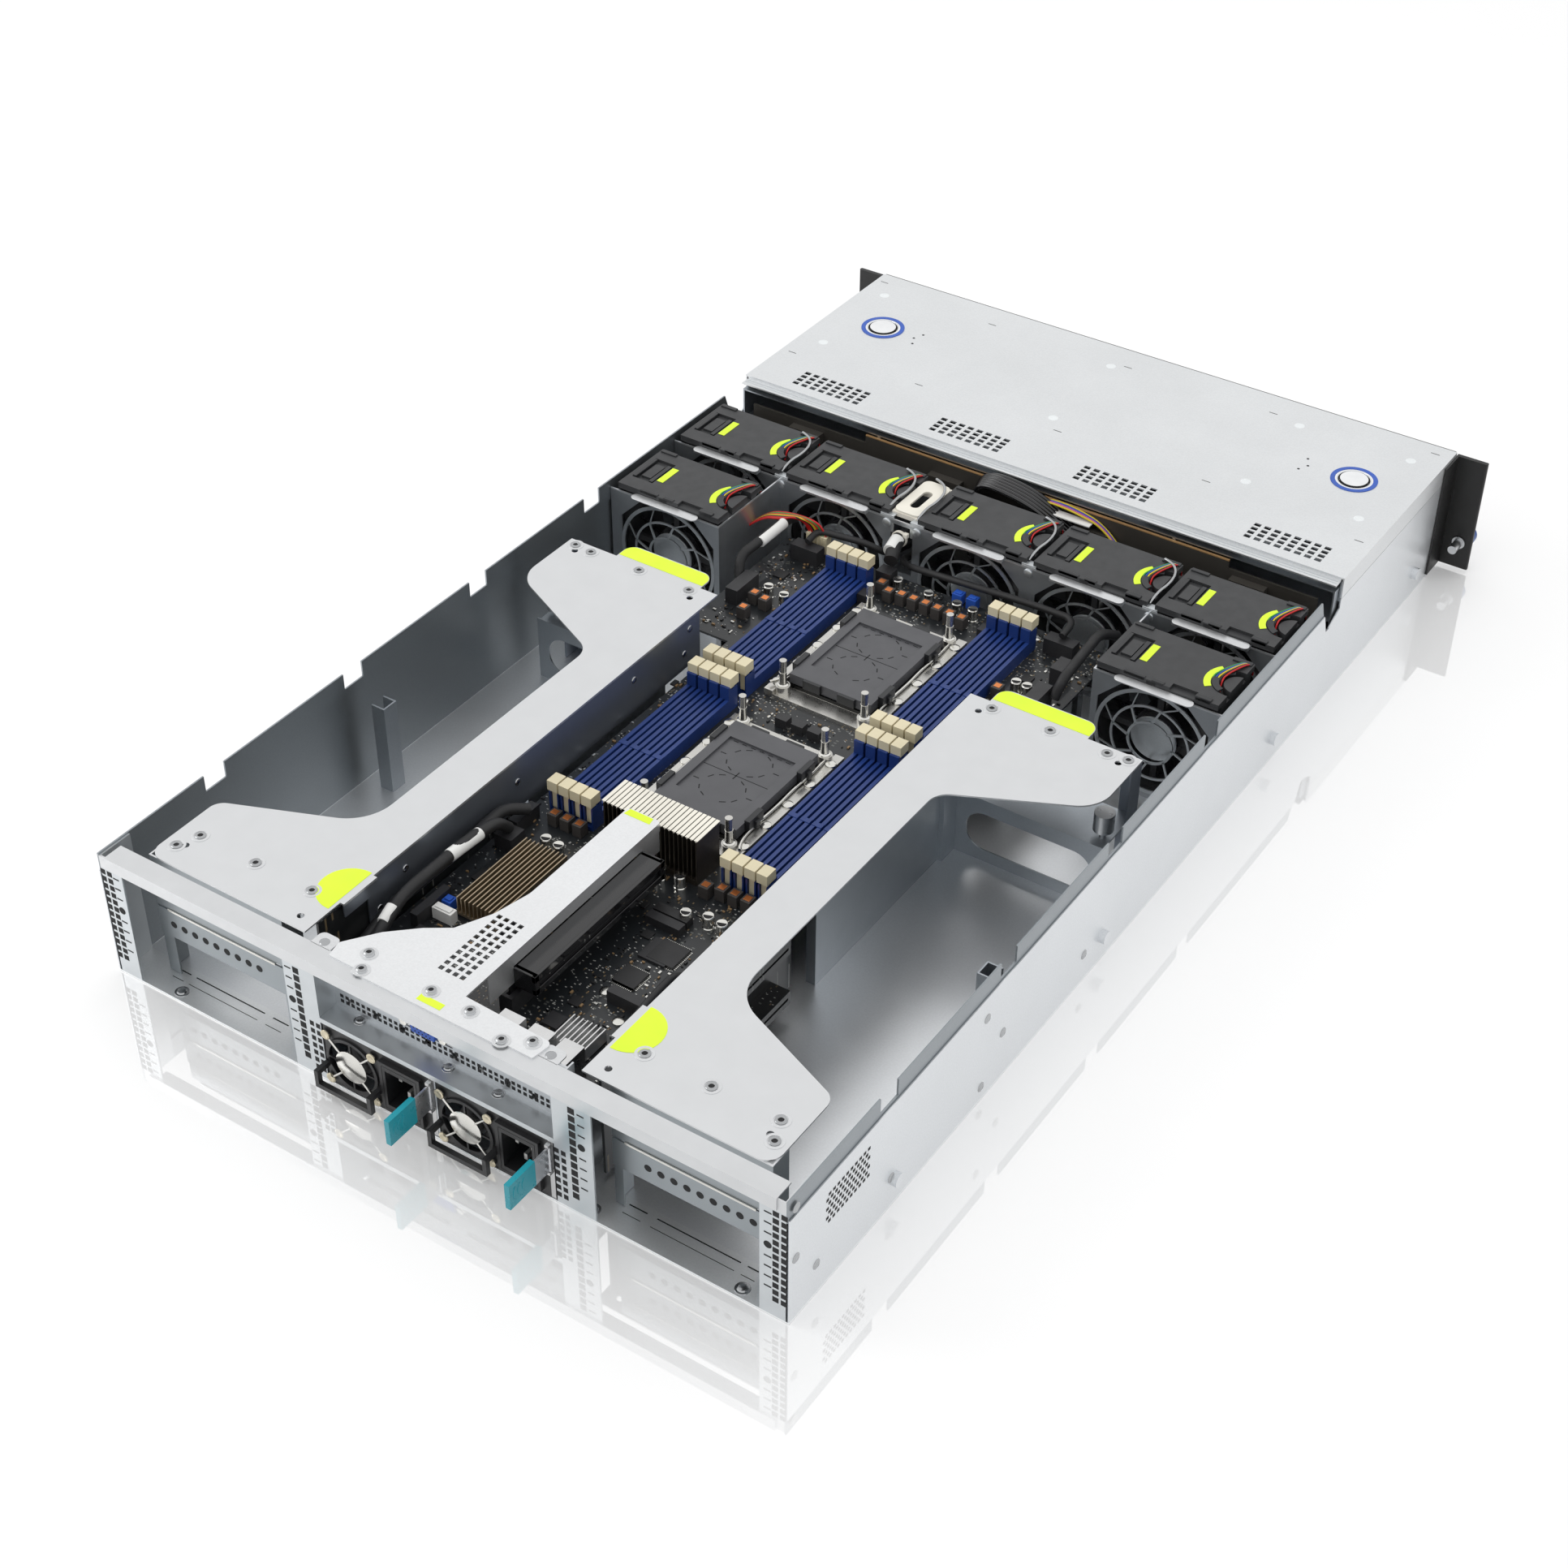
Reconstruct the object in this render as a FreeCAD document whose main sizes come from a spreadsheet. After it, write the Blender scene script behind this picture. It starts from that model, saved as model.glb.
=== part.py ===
"""A 2U rack server with its lid off: a sheet-steel chassis with a front cover, seven lift-out fans,
a mainboard with two processor sockets and sixteen memory slots, two lift-out expansion cages, a
centre riser, two plug-in power supplies and eight drive trays.

Frame, in millimetres: +Z is up and the floor's underside is at 0. The front faces -Y. The origin is
on the underside, on the middle plane of the side walls."""

import FreeCAD, Part
import math
import os
import re

import Sketcher
from FreeCAD import Placement, Rotation, Vector

SIZES = [
    # Chassis
    ("body_width", 440.0, "over the side walls"),
    ("body_front", 391.0, "origin to the front edge of the side walls"),
    ("body_rear", 393.0, "origin to the rear edge"),
    ("body_height", 87.0, "underside to the top of the front cover"),
    ("sheet", 1.0, "thickness of the steel sheet"),
    ("wall_top", 84.0, "height of the side walls behind the front cover"),
    ("strip_height", 12.0, "inset strip along the top of each side wall"),
    ("seat_gap", 0.3, "clearance between a piece and its seat"),
    ("notch_depth", 10.5, "lid notches in the side walls"),
    ("notch_length", 16.0, "length of a lid notch"),
    ("notch_first", -45.0, "front lid notch"),
    ("notch_pitch", 114.0, "from one lid notch to the next"),
    ("stud_pitch", 215.0, "from one rail stud to the next"),
    ("stud_first", -346.0, "front rail stud"),
    ("stud_radius", 4.0, "rail stud"),
    ("stud_length", 3.5, "rail stud beyond the wall"),
    ("stud_height", 18.0, "rail studs above the underside"),
    ("post_width", 9.5, "channel post in each expansion bay"),
    ("post_depth", 11.0, "channel post along the chassis"),
    ("post_height", 62.0, "top of the channel post"),
    ("post_place", 199.0, "post to the cage centre plane"),
    ("post_rear", 190.5, "rear face of the channel post"),
    ("standoff_radius", 3.5, "corner radius of a mainboard standoff"),
    # Front cover and its two latch buttons
    ("cover_rear", 213.5, "origin to the cover's rear edge, towards the front"),
    ("cover_lip", 7.5, "stepped lip behind the cover"),
    ("cover_step", 2.0, "drop of the stepped lip"),
    ("grid_columns", 8, "vent holes across one grid"),
    ("grid_rows", 4, "vent holes along one grid"),
    ("grid_hole_width", 4.4, "vent hole across"),
    ("grid_hole_depth", 3.3, "vent hole along"),
    ("grid_pitch_x", 6.8, "vent hole to vent hole across"),
    ("grid_pitch_y", 5.0, "vent hole to vent hole along"),
    ("grid_middle", -231.0, "middle of the vent grids"),
    ("grid_place_1", 162.0, "vent grid at the left"),
    ("grid_place_2", 54.0, "second vent grid"),
    ("grid_place_3", -53.5, "third vent grid"),
    ("grid_place_4", -174.0, "vent grid at the right"),
    ("button_side", 42.0, "latch button from the side wall's face"),
    ("button_front", -322.0, "latch button along the chassis"),
    ("button_radius", 9.0, "latch button"),
    ("button_hole", 10.4, "hole in the cover round the button"),
    ("button_flange", 12.5, "flange that keeps the button under the cover"),
    ("button_proud", 0.8, "button above the cover"),
    # Drive cage, trays and backplane
    ("cage_columns", 4, "drive bays across"),
    ("cage_top", 79.0, "underside of the drive cage's roof"),
    ("cage_rear", 207.0, "origin to the rear of the drive cage, towards the front"),
    ("row_pitch", 28.7, "lower drive tray to upper drive tray"),
    ("tray_height", 26.2, "drive tray"),
    ("tray_length", 153.0, "drive tray with its bezel"),
    ("tray_bezel", 6.0, "depth of a tray's bezel"),
    ("tray_gap", 0.4, "clearance beside a tray"),
    ("tray_rail", 1.5, "side rail of a tray"),
    ("tray_rail_height", 14.0, "height of a tray's rail"),
    ("backplane_thickness", 1.6, "drive backplane"),
    ("backplane_top", 78.0, "top of the drive backplane"),
    # Rack ears and their screws
    ("ear_width", 21.3, "rack ear beside the side wall"),
    ("ear_low", 3.0, "bottom of a rack ear"),
    ("ear_high", 84.5, "top of a rack ear"),
    ("ear_thickness", 3.0, "rack ear"),
    ("ear_flange", 20.0, "ear's flange along the side wall"),
    ("ear_round", 1.0, "rounds at an ear's outer edge"),
    ("ear_hole_side", 12.55, "rack screw from the side wall's face"),
    ("rack_hole_height", 22.25, "rack screws above the underside"),
    ("rack_screw_radius", 3.0, "thread of a rack screw"),
    ("rack_screw_neck", 2.3, "neck of a rack screw in its ear"),
    ("rack_screw_length", 10.7, "thread behind the retaining ring"),
    ("rack_ring_radius", 4.4, "ring that keeps a rack screw in its ear"),
    ("rack_ring_thickness", 1.0, "retaining ring"),
    ("knob_radius", 7.5, "knob of a rack screw"),
    ("knob_length", 9.7, "knob of a rack screw"),
    ("duct_screw_radius", 2.0, "shank of a knurled screw"),
    ("duct_screw_shank", 5.0, "shank under a knurled screw's head"),
    ("duct_head_radius", 6.0, "head of a knurled screw"),
    ("duct_head_height", 12.0, "head of a knurled screw"),
    ("duct_screw_side", 7.0, "knurled screw from the cage's outer edge"),
    ("duct_screw_back", 10.0, "knurled screw from the duct frame"),
    # Fans
    ("fan_width", 78.0, "one fan module across"),
    ("fan_depth", 38.0, "fan body along the air"),
    ("fan_low", 1.6, "underside of a fan"),
    ("fan_high", 80.0, "top of a fan body"),
    ("fan_lid", 4.0, "plate on top of a fan"),
    ("fan_lid_depth", 48.0, "plate on top of a fan along the air"),
    ("fan_bore", 36.5, "radius of the air passage"),
    ("fan_axis", 41.0, "fan axis above the underside"),
    ("fan_arm_front", 12.0, "crossed arms behind the rotor, from the fan's middle"),
    ("fan_hub", 16.0, "rotor hub radius"),
    ("fan_shaft", 2.0, "rotor shaft radius"),
    ("running_gap", 0.05, "radial clearance round a shaft"),
    ("blade_count", 7, "blades on a fan rotor"),
    ("blade_reach", 34.6, "blade tip to the axis"),
    ("blade_chord", 20.0, "width of a blade"),
    ("blade_thickness", 1.6, "thickness of a blade"),
    ("blade_angle", 36.0, "pitch of a blade in degrees"),
    ("fan_row", -152.0, "middle of the front row of fans"),
    ("fan_row_rear", -82.0, "middle of the two rear fans"),
    ("fan_side_left", 45.5, "middle of the left fan from the side wall's face"),
    ("fan_place_2", 91.0, "second fan"),
    ("fan_place_3", -8.4, "third fan"),
    ("fan_place_4", -91.6, "fourth fan"),
    ("fan_side_right", 45.0, "middle of the right fan from the side wall's face"),
    ("fan_side_rear", 46.5, "middle of a rear fan from the side wall's face"),
    ("divider_gap", 0.6, "clearance between a fan and a divider"),
    ("gate_low", 41.0, "underside of the cable gate between two fans"),
    ("gate_high", 76.0, "top of the cable gate between two fans"),
    ("clip_width", 50.0, "spring strip behind a fan"),
    ("clip_depth", 5.0, "spring strip behind a fan along the chassis"),
    ("handle_length", 42.0, "lift handle between two fans"),
    ("handle_band", 4.0, "band round the handle's slot"),
    ("handle_height", 3.0, "lift handle"),
    ("partition_top", 79.0, "top of the fan partition"),
    ("opening_cut", 16.0, "cut corner of an air opening"),
    # Mainboard
    ("board_underside", 47.0, "underside of the mainboard"),
    ("board_thickness", 1.6, "mainboard"),
    ("board_front", 112.0, "origin to the mainboard's front edge, towards the front"),
    ("board_rear", 372.0, "origin to the mainboard's rear edge"),
    ("board_wide", 118.0, "half the width of the front part"),
    ("board_wide_rear", 6.0, "where the wide front part ends"),
    ("board_side", 84.5, "half the width between the cages"),
    # Memory slots and their latches
    ("slot_pitch", 7.9, "memory slot to memory slot"),
    ("slot_length", 128.0, "slot between its latches"),
    ("slot_width", 6.4, "memory slot"),
    ("slot_height", 9.0, "slot above the board"),
    ("slot_groove", 1.6, "groove for the module"),
    ("slot_end", 6.5, "latch seat at each end of a slot"),
    ("cheek_height", 15.4, "cheeks beside a latch above the board"),
    ("cheek_width", 0.9, "one cheek"),
    ("bank_left", 55.5, "left memory banks"),
    ("bank_right", -61.3, "right memory banks"),
    ("bank_front", -22.4, "front memory banks"),
    ("bank_rear", 127.4, "rear memory banks"),
    ("latch_top", 23.8, "top of a latch above the board"),
    ("latch_pivot", 4.9, "latch pivot above the board"),
    ("latch_cap", 6.5, "height of a latch's cap"),
    ("latch_cap_width", 6.8, "width of a latch's cap"),
    ("latch_cap_depth", 8.6, "depth of a latch's cap"),
    ("latch_stem", 3.6, "stem of a latch"),
    # Processor sockets and covers
    ("socket_middle", -3.8, "middle of the processor sockets"),
    ("socket_front", -15.5, "front processor socket"),
    ("socket_rear", 122.5, "rear processor socket"),
    ("socket_width", 76.0, "bolster plate across"),
    ("socket_depth", 108.0, "bolster plate along"),
    ("socket_plate", 2.2, "bolster plate"),
    ("socket_stud_x", 28.5, "bolster stud from the socket's middle across"),
    ("socket_stud_y", 48.0, "bolster stud from the socket's middle along"),
    ("socket_stud_radius", 2.2, "bolster stud"),
    ("socket_stud_top", 25.0, "bolster stud above the board"),
    ("bolster_rail", 6.0, "rail along a bolster plate"),
    ("bolster_rail_height", 2.5, "rail along a bolster plate"),
    ("socket_frame", 2.4, "frame round a processor"),
    ("cap_width", 57.0, "processor cover across"),
    ("cap_depth", 82.0, "processor cover along"),
    ("cap_height", 6.5, "processor cover"),
    ("cap_rim_x", 6.0, "rim beside the cover's field"),
    ("cap_rim_y", 14.0, "rim before and behind the cover's field"),
    ("cap_field", 1.5, "depth of the cover's field"),
    # Smaller parts on the mainboard
    ("can_radius", 3.2, "capacitor"),
    ("can_height", 8.2, "capacitor above the board"),
    ("choke_width", 6.0, "choke across"),
    ("choke_depth", 6.6, "choke along"),
    ("choke_height", 7.8, "choke above the board"),
    # Heatsinks
    ("fin_thickness", 0.7, "heatsink fin"),
    ("tower_width", 62.0, "tower heatsink across"),
    ("tower_depth", 21.5, "tower heatsink along"),
    ("tower_height", 31.5, "tower heatsink above the board"),
    ("tower_front", 182.0, "front of the tower heatsink"),
    ("tower_fins", 22, "fins of the tower heatsink"),
    ("hub_sink_width", 28.0, "chipset heatsink across"),
    ("hub_sink_depth", 60.0, "chipset heatsink along"),
    ("hub_sink_height", 13.5, "chipset heatsink above the board"),
    ("hub_sink_fins", 11, "fins of the chipset heatsink"),
    ("small_sink_width", 20.0, "small heatsink"),
    ("small_sink_height", 9.5, "small heatsink above the board"),
    ("small_sink_fins", 8, "fins of the small heatsink"),
    # Expansion cages
    ("cage_middle", -1.7, "plane between the two expansion cages"),
    ("cage_inner", 88.3, "inner edge of a cage"),
    ("cage_neck", 119.0, "outer edge of a cage's neck"),
    ("cage_outer", 198.5, "outer edge of a cage"),
    ("cage_front", 11.0, "front edge of a cage"),
    ("cage_back", 377.0, "rear edge of a cage"),
    ("cage_shoulder", 61.5, "origin to the corner before a cage's neck"),
    ("cage_neck_front", 100.0, "origin to the front of a cage's neck"),
    ("cage_neck_rear", 292.0, "origin to the rear of a cage's neck"),
    ("cage_hip", 325.0, "origin to the corner behind a cage's neck"),
    ("cage_shoulder_round", 22.0, "round at the corner before the neck"),
    ("cage_neck_round", 14.0, "round at the front of the neck"),
    ("cage_waist_round", 28.0, "round at the rear of the neck"),
    ("cage_hip_round", 9.0, "rounds at the cage's rear corners"),
    ("cage_skirt", 33.0, "height of the panel under a cage's inner edge"),
    ("tab_inner", 101.0, "inner edge of the finger tab on a cage's front"),
    ("tab_outer", 164.0, "outer edge of the finger tab on a cage's front"),
    ("tab_reach", 15.0, "finger tab beyond the cage's front"),
    ("tab_round", 8.0, "rounds of the finger tab"),
    ("cage_post_depth", 13.0, "cage's front post along the chassis"),
    ("cage_post_face", 11.0, "cage's front post across"),
    ("cage_flange_depth", 13.5, "cage's rear flanges along the chassis"),
    ("cage_flange_inner", 16.7, "inner rear flange from the cage's inner edge"),
    ("cage_fold_inner", 5.3, "fold of the inner rear flange"),
    ("cage_fold_outer", 8.0, "fold of the outer rear flange"),
    ("cage_fold_top", 13.5, "fold under the plate's rear edge"),
    ("cage_screw_hole", 2.0, "radius of a screw hole in a cage"),
    ("pull_reach", 2.5, "finger tab beside a cage's panel"),
    ("pull_wall", 1.0, "wall of the side finger tab"),
    ("pull_front", 324.0, "front of the side finger tab"),
    ("pull_rear", 350.0, "rear of the side finger tab"),
    ("pull_height", 9.0, "side finger tab"),
    ("panel_start", 19.0, "cage's inner panel behind its front edge"),
    ("panel_rear", 330.0, "rear edge of the cage's inner panel"),
    ("card_slot_pitch", 20.8, "one slot cover to the next"),
    ("card_slot_low", 29.3, "bottom of the lower slot cover"),
    ("card_slot_height", 19.0, "height of a slot cover"),
    ("riser_gap", 0.3, "riser card to the cage's panel"),
    ("riser_front", 200.0, "front edge of a riser card"),
    ("riser_rear", 366.0, "rear edge of a riser card"),
    ("bay_wall", 99.5, "inner wall of an expansion bay"),
    ("bay_wall_rear", 190.0, "rear edge of the bay's inner wall"),
    ("bay_wall_top", 60.0, "top of the bay's inner wall"),
    ("duct_rear", 48.0, "duct frame between a rear fan and its bay"),
    ("duct_top", 45.0, "shelf on the duct frame"),
    # Centre riser
    ("arm_left", 9.5, "left edge of the riser arm"),
    ("arm_right", -12.3, "right edge of the riser arm"),
    ("arm_front", 205.0, "front end of the riser arm"),
    ("riser_wall", 18.0, "height of the wall under the riser arm"),
    ("riser_card", -11.0, "right face of the centre riser's card"),
    ("riser_plate", 84.0, "underside of the centre riser's plate"),
    # Rear end and power supplies
    ("bay_middle", -6.8, "plane between the two power supplies"),
    ("supply_pitch", 75.4, "power supply to power supply"),
    ("supply_width", 73.4, "power supply across"),
    ("supply_height", 40.0, "power supply"),
    ("supply_gap", 1.0, "clearance between a power supply and the bay's side wall"),
    ("supply_length", 182.0, "power supply along"),
    ("supply_back", 389.0, "rear of the casing"),
    ("shelf_top", 45.2, "top of the shelf over the power supplies"),
    ("supply_fan_x", 18.8, "fan axis from the supply's middle"),
    ("supply_fan_z", 20.6, "fan axis above the underside"),
    ("supply_fan_bore", 16.4, "fan opening radius"),
    ("inlet_x", -15.4, "mains inlet from the supply's middle"),
    ("inlet_width", 27.0, "mains inlet frame across"),
    ("inlet_height", 34.0, "mains inlet frame"),
    ("inlet_depth", 15.0, "depth of the mains socket"),
    ("handle_reach", 11.0, "handle beyond the supply's face"),
    ("handle_wire", 3.0, "thickness of the supply's handle"),
    ("handle_arm", 2.5, "width of a handle arm"),
    ("handle_left", -1.5, "handle's first arm from the supply's middle"),
    ("handle_right", 33.9, "handle's second arm from the supply's middle"),
    ("handle_low", 5.5, "underside of the handle"),
    ("handle_top", 17.0, "top of the handle's arms"),
    ("lever_reach", 33.0, "release lever beyond the supply's face"),
    ("lever_height", 16.5, "release lever's pad"),
    ("lever_middle", 30.75, "middle of the release lever above the underside"),
    ("lever_side", 35.0, "release lever from the supply's middle"),
    ("lever_pivot", 1.6, "lever's pivot behind the supply's face"),
    ("lever_eye", 1.2, "rolled eye round the lever's pivot"),
    ("lever_pad_length", 20.0, "moulded pad of the lever"),
    ("lever_pad_width", 3.1, "thickness of the lever's pad"),
    ("lug_reach", 3.2, "lugs beside the lever's eye"),
    ("lug_thickness", 1.8, "one lug"),
    ("guard_thickness", 1.0, "wire guard over the supply's fan"),
    ("guard_band", 1.0, "guard's outer ring on each side of the opening's edge"),
    ("guard_hub", 7.0, "radius of the guard's hub disc"),
    ("port_face", 378.0, "plate with the sockets"),
    ("port_vent_first", 58.0, "first vent hole of the port plate"),
    ("port_vent_pitch", 17.0, "vent hole to vent hole in the port plate"),
    ("port_vent_width", 4.0, "vent hole of the port plate"),
    ("port_vent_z", 51.0, "vent holes of the port plate above the underside"),
    ("plate_tie", 6.0, "half the width of the tab from the port plate to the rear bar"),
    ("rear_bar_side", 7.0, "end of the rear bar from the side wall's face"),
    ("rear_bar_front", 380.5, "front edge of the rear bar"),
    ("rear_bar_lip", 8.0, "rear bar's lip under its top"),
    ("left_column_end", 90.0, "outer edge of the left inner column"),
    ("right_column_end", -106.0, "outer edge of the right inner column"),
    ("outer_column_width", 15.0, "outer column across"),
    ("column_flange_front", 370.0, "front edge of an outer column's flange"),
    ("supply_wall_front", 300.0, "front edge of the power supply bay's side walls"),
    ("divider_front", 210.0, "front edge of the power supply bay's divider"),
    ("shelf_front", 205.0, "front edge of the shelf over the power supplies"),
    ("shelf_lip", 3.2, "lip under the shelf's rear edge"),
    ("shelf_post", 2.8, "radius of a post between the shelf and the mainboard"),
    ("port_start", 358.0, "front of the left sockets' shells"),
    ("port_start_right", 355.0, "front of the right sockets' shells"),
    ("port_foot_end", 370.0, "rear edge of a socket's foot"),
    ("port_hollow", 12.0, "depth of a socket's opening"),
]

doc = FreeCAD.newDocument("RackServer")
sheet = doc.addObject("Spreadsheet::Sheet", "Sizes")
for row, (alias, number, note) in enumerate(SIZES, 1):
    sheet.set(f"A{row}", note)
    sheet.set(f"B{row}", str(number))
    sheet.setAlias(f"B{row}", alias)
doc.recompute()

ALIASES = {alias for alias, number, note in SIZES}
NODES = {}
FIRST_GUESS = 100  # corners of a sketch lie on a ring of this radius until its constraints place them
TURN_TO = {
    "X": Rotation(Vector(0, 1, 0), 90),
    "Y": Rotation(Vector(1, 0, 0), -90),
    "Z": Rotation(),
}


def size(alias):
    """Value of one driving size."""
    return float(getattr(sheet, alias))


def formula(text):
    """Formula in size names, as the document writes it."""
    return re.sub(r"[a-z][a-z_0-9]*", lambda m: "Sizes." + m[0] if m[0] in ALIASES else m[0], str(text))


def bind(item, prop, text):
    """Tie a property to a formula of the sizes."""
    item.setExpression(prop, formula(text))


def place(item, x, y, z, turn=None):
    """Put an object at a place given by formulas."""
    item.Placement = Placement(Vector(), turn or Rotation())
    for axis, text in zip("xyz", (x, y, z)):
        bind(item, f"Placement.Base.{axis}", text)
    return item


def block(name, x, y, z):
    """Box between a low and a high formula along each axis."""
    item = doc.addObject("Part::Box", name)
    for prop, (low, high) in zip(("Length", "Width", "Height"), (x, y, z)):
        bind(item, prop, f"({high}) - ({low})")
    return place(item, x[0], y[0], z[0])


def centred(name, middle, width, y, z):
    """Box whose width lies evenly about a middle plane."""
    return block(name, (f"{middle} - ({width}) / 2", f"{middle} + ({width}) / 2"), y, z)


def rod(name, radius, length, x, y, z, axis="Z"):
    """Cylinder from a point along one axis."""
    item = doc.addObject("Part::Cylinder", name)
    bind(item, "Radius", radius)
    bind(item, "Height", length)
    return place(item, x, y, z, TURN_TO[axis])


def fuse(name, pieces):
    """One solid from several that touch or overlap."""
    item = doc.addObject("Part::MultiFuse", name)
    item.Shapes = pieces
    item.Refine = True
    return item


def group(name, pieces):
    """Separate solids that share a node."""
    item = doc.addObject("Part::Compound", name)
    item.Links = pieces
    return item


def cut(name, base, tools):
    """Base without its tools, which don't overlap each other."""
    item = doc.addObject("Part::Cut", name)
    item.Base = base
    item.Tool = tools[0] if len(tools) == 1 else group(name + "Tools", tools)
    item.Refine = True
    return item


def mirrored(name, source, middle="0"):
    """Copy of an object on the other side of a plane across the chassis."""
    item = doc.addObject("Part::Mirroring", name)
    item.Source = source
    item.Normal = Vector(1, 0, 0)
    bind(item, "Base.x", middle)
    return item


def shaped(name, shape, x="0", y="0", z="0"):
    """Object that holds a shape made from the sizes."""
    item = doc.addObject("Part::Feature", name)
    item.Shape = shape
    return place(item, x, y, z)


def new_body(name):
    """Empty body for sketched features."""
    return doc.addObject("PartDesign::Body", name)


def outline(body, name, role, points, level="0"):
    """Closed sketch through points given by formulas, on an origin plane or beside it."""
    sketch = body.newObject("Sketcher::SketchObject", name)
    plane = next(item for item in body.Origin.OriginFeatures if item.Role == role)
    sketch.AttachmentSupport = [(plane, "")]
    sketch.MapMode = "FlatFace"
    bind(sketch, "AttachmentOffset.Base.z", level)
    turns = [2 * math.pi * index / len(points) for index in range(len(points))]
    starts = [Vector(FIRST_GUESS * math.cos(turn), FIRST_GUESS * math.sin(turn), 0) for turn in turns]
    for index, start in enumerate(starts):
        sketch.addGeometry(Part.LineSegment(start, starts[(index + 1) % len(points)]), False)
    for index in range(len(points)):
        sketch.addConstraint(Sketcher.Constraint("Coincident", index, 2, (index + 1) % len(points), 1))
    for index, (x, y) in enumerate(points):
        for kind, text, first in (("DistanceX", x, starts[index].x), ("DistanceY", y, starts[index].y)):
            number = sketch.addConstraint(Sketcher.Constraint(kind, -1, 1, index, 1, first))
            bind(sketch, f"Constraints[{number}]", text)
    return sketch


def pad(body, name, sketch, length):
    """Sketch grown by a length along its plane's normal."""
    item = body.newObject("PartDesign::Pad", name)
    item.Profile = sketch
    bind(item, "Length", length)
    return item


def pocket(body, name, sketch):
    """Sketch cut through the whole body."""
    item = body.newObject("PartDesign::Pocket", name)
    item.Profile = sketch
    item.Type = "ThroughAll"
    item.Midplane = True
    return item


def pattern(body, name, feature, sketch, columns, pitch_x, rows, pitch_y):
    """Copies of a feature in columns and rows along its sketch's axes."""
    item = body.newObject("PartDesign::LinearPattern", name)
    item.Originals = [feature]
    item.Direction = (sketch, ["H_Axis"])
    item.Direction2 = (sketch, ["V_Axis"])
    bind(item, "Occurrences", columns)
    bind(item, "Length", f"({columns} - 1) * {pitch_x}")
    bind(item, "Occurrences2", rows)
    bind(item, "Length2", f"({rows} - 1) * {pitch_y}")
    body.Tip = item
    return item


def round_corners(body, name, feature, sketch, radius, corners):
    """Fillet along the edges that grew from some of a sketch's corners."""
    doc.recompute()
    normal = sketch.Placement.Rotation.multVec(Vector(0, 0, 1))
    marks = [sketch.Placement.multVec(sketch.Geometry[corner].StartPoint) for corner in corners]
    edges = []
    for number, edge in enumerate(feature.Shape.Edges, 1):
        start = edge.Vertexes[0].Point
        run = edge.Vertexes[-1].Point - start
        along = run.cross(normal).Length < 1e-6 < run.Length
        if along and any((mark - start).cross(normal).Length < 1e-4 for mark in marks):
            edges.append(f"Edge{number}")
    item = body.newObject("PartDesign::Fillet", name)
    item.Base = (feature, edges)
    bind(item, "Radius", radius)
    return item


def turned(name, profile, x, y, z, axis="Z"):
    """Body of revolution from a half profile of radius and height formulas."""
    body = new_body(name)
    sketch = outline(body, name + "Profile", "XZ_Plane", profile)
    item = body.newObject("PartDesign::Revolution", name + "Turn")
    item.Profile = sketch
    item.ReferenceAxis = (sketch, ["V_Axis"])
    item.Angle = 360
    return place(body, x, y, z, TURN_TO[axis])


def node(label, item):
    """Name a finished sub-part, which is written to a file of that name."""
    item.Label = label
    NODES[label] = item
    return item


def tube(points, radius):
    """Round lead along straight runs joined by tangent arcs."""
    corners = [Vector(*point) for point in points]
    edges = []
    here = corners[0]
    for before, corner, after in zip(corners, corners[1:], corners[2:]):
        into = (corner - before).normalize()
        out = (after - corner).normalize()
        half_turn = into.getAngle(out) / 2
        reach = 0.45 * min((corner - before).Length, (after - corner).Length)
        bend = reach / math.tan(half_turn)
        start = corner - into * reach
        end = corner + out * reach
        inward = (out - into).normalize()
        middle = corner + inward * (bend / math.cos(half_turn) - bend)
        print(f"lead radius {radius}: bend {bend:.1f}")
        edges += [Part.LineSegment(here, start).toShape(), Part.Arc(start, middle, end).toShape()]
        here = end
    edges.append(Part.LineSegment(here, corners[-1]).toShape())
    path = Part.Wire(edges)
    first = (corners[1] - corners[0]).normalize()
    circle = Part.Wire(Part.Circle(corners[0], first, radius).toShape())
    solid = path.makePipeShell([circle], True, True)
    expected = math.pi * radius**2 * path.Length
    print(f"lead volume {solid.Volume:.0f}, section times length {expected:.0f}")
    return solid


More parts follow.
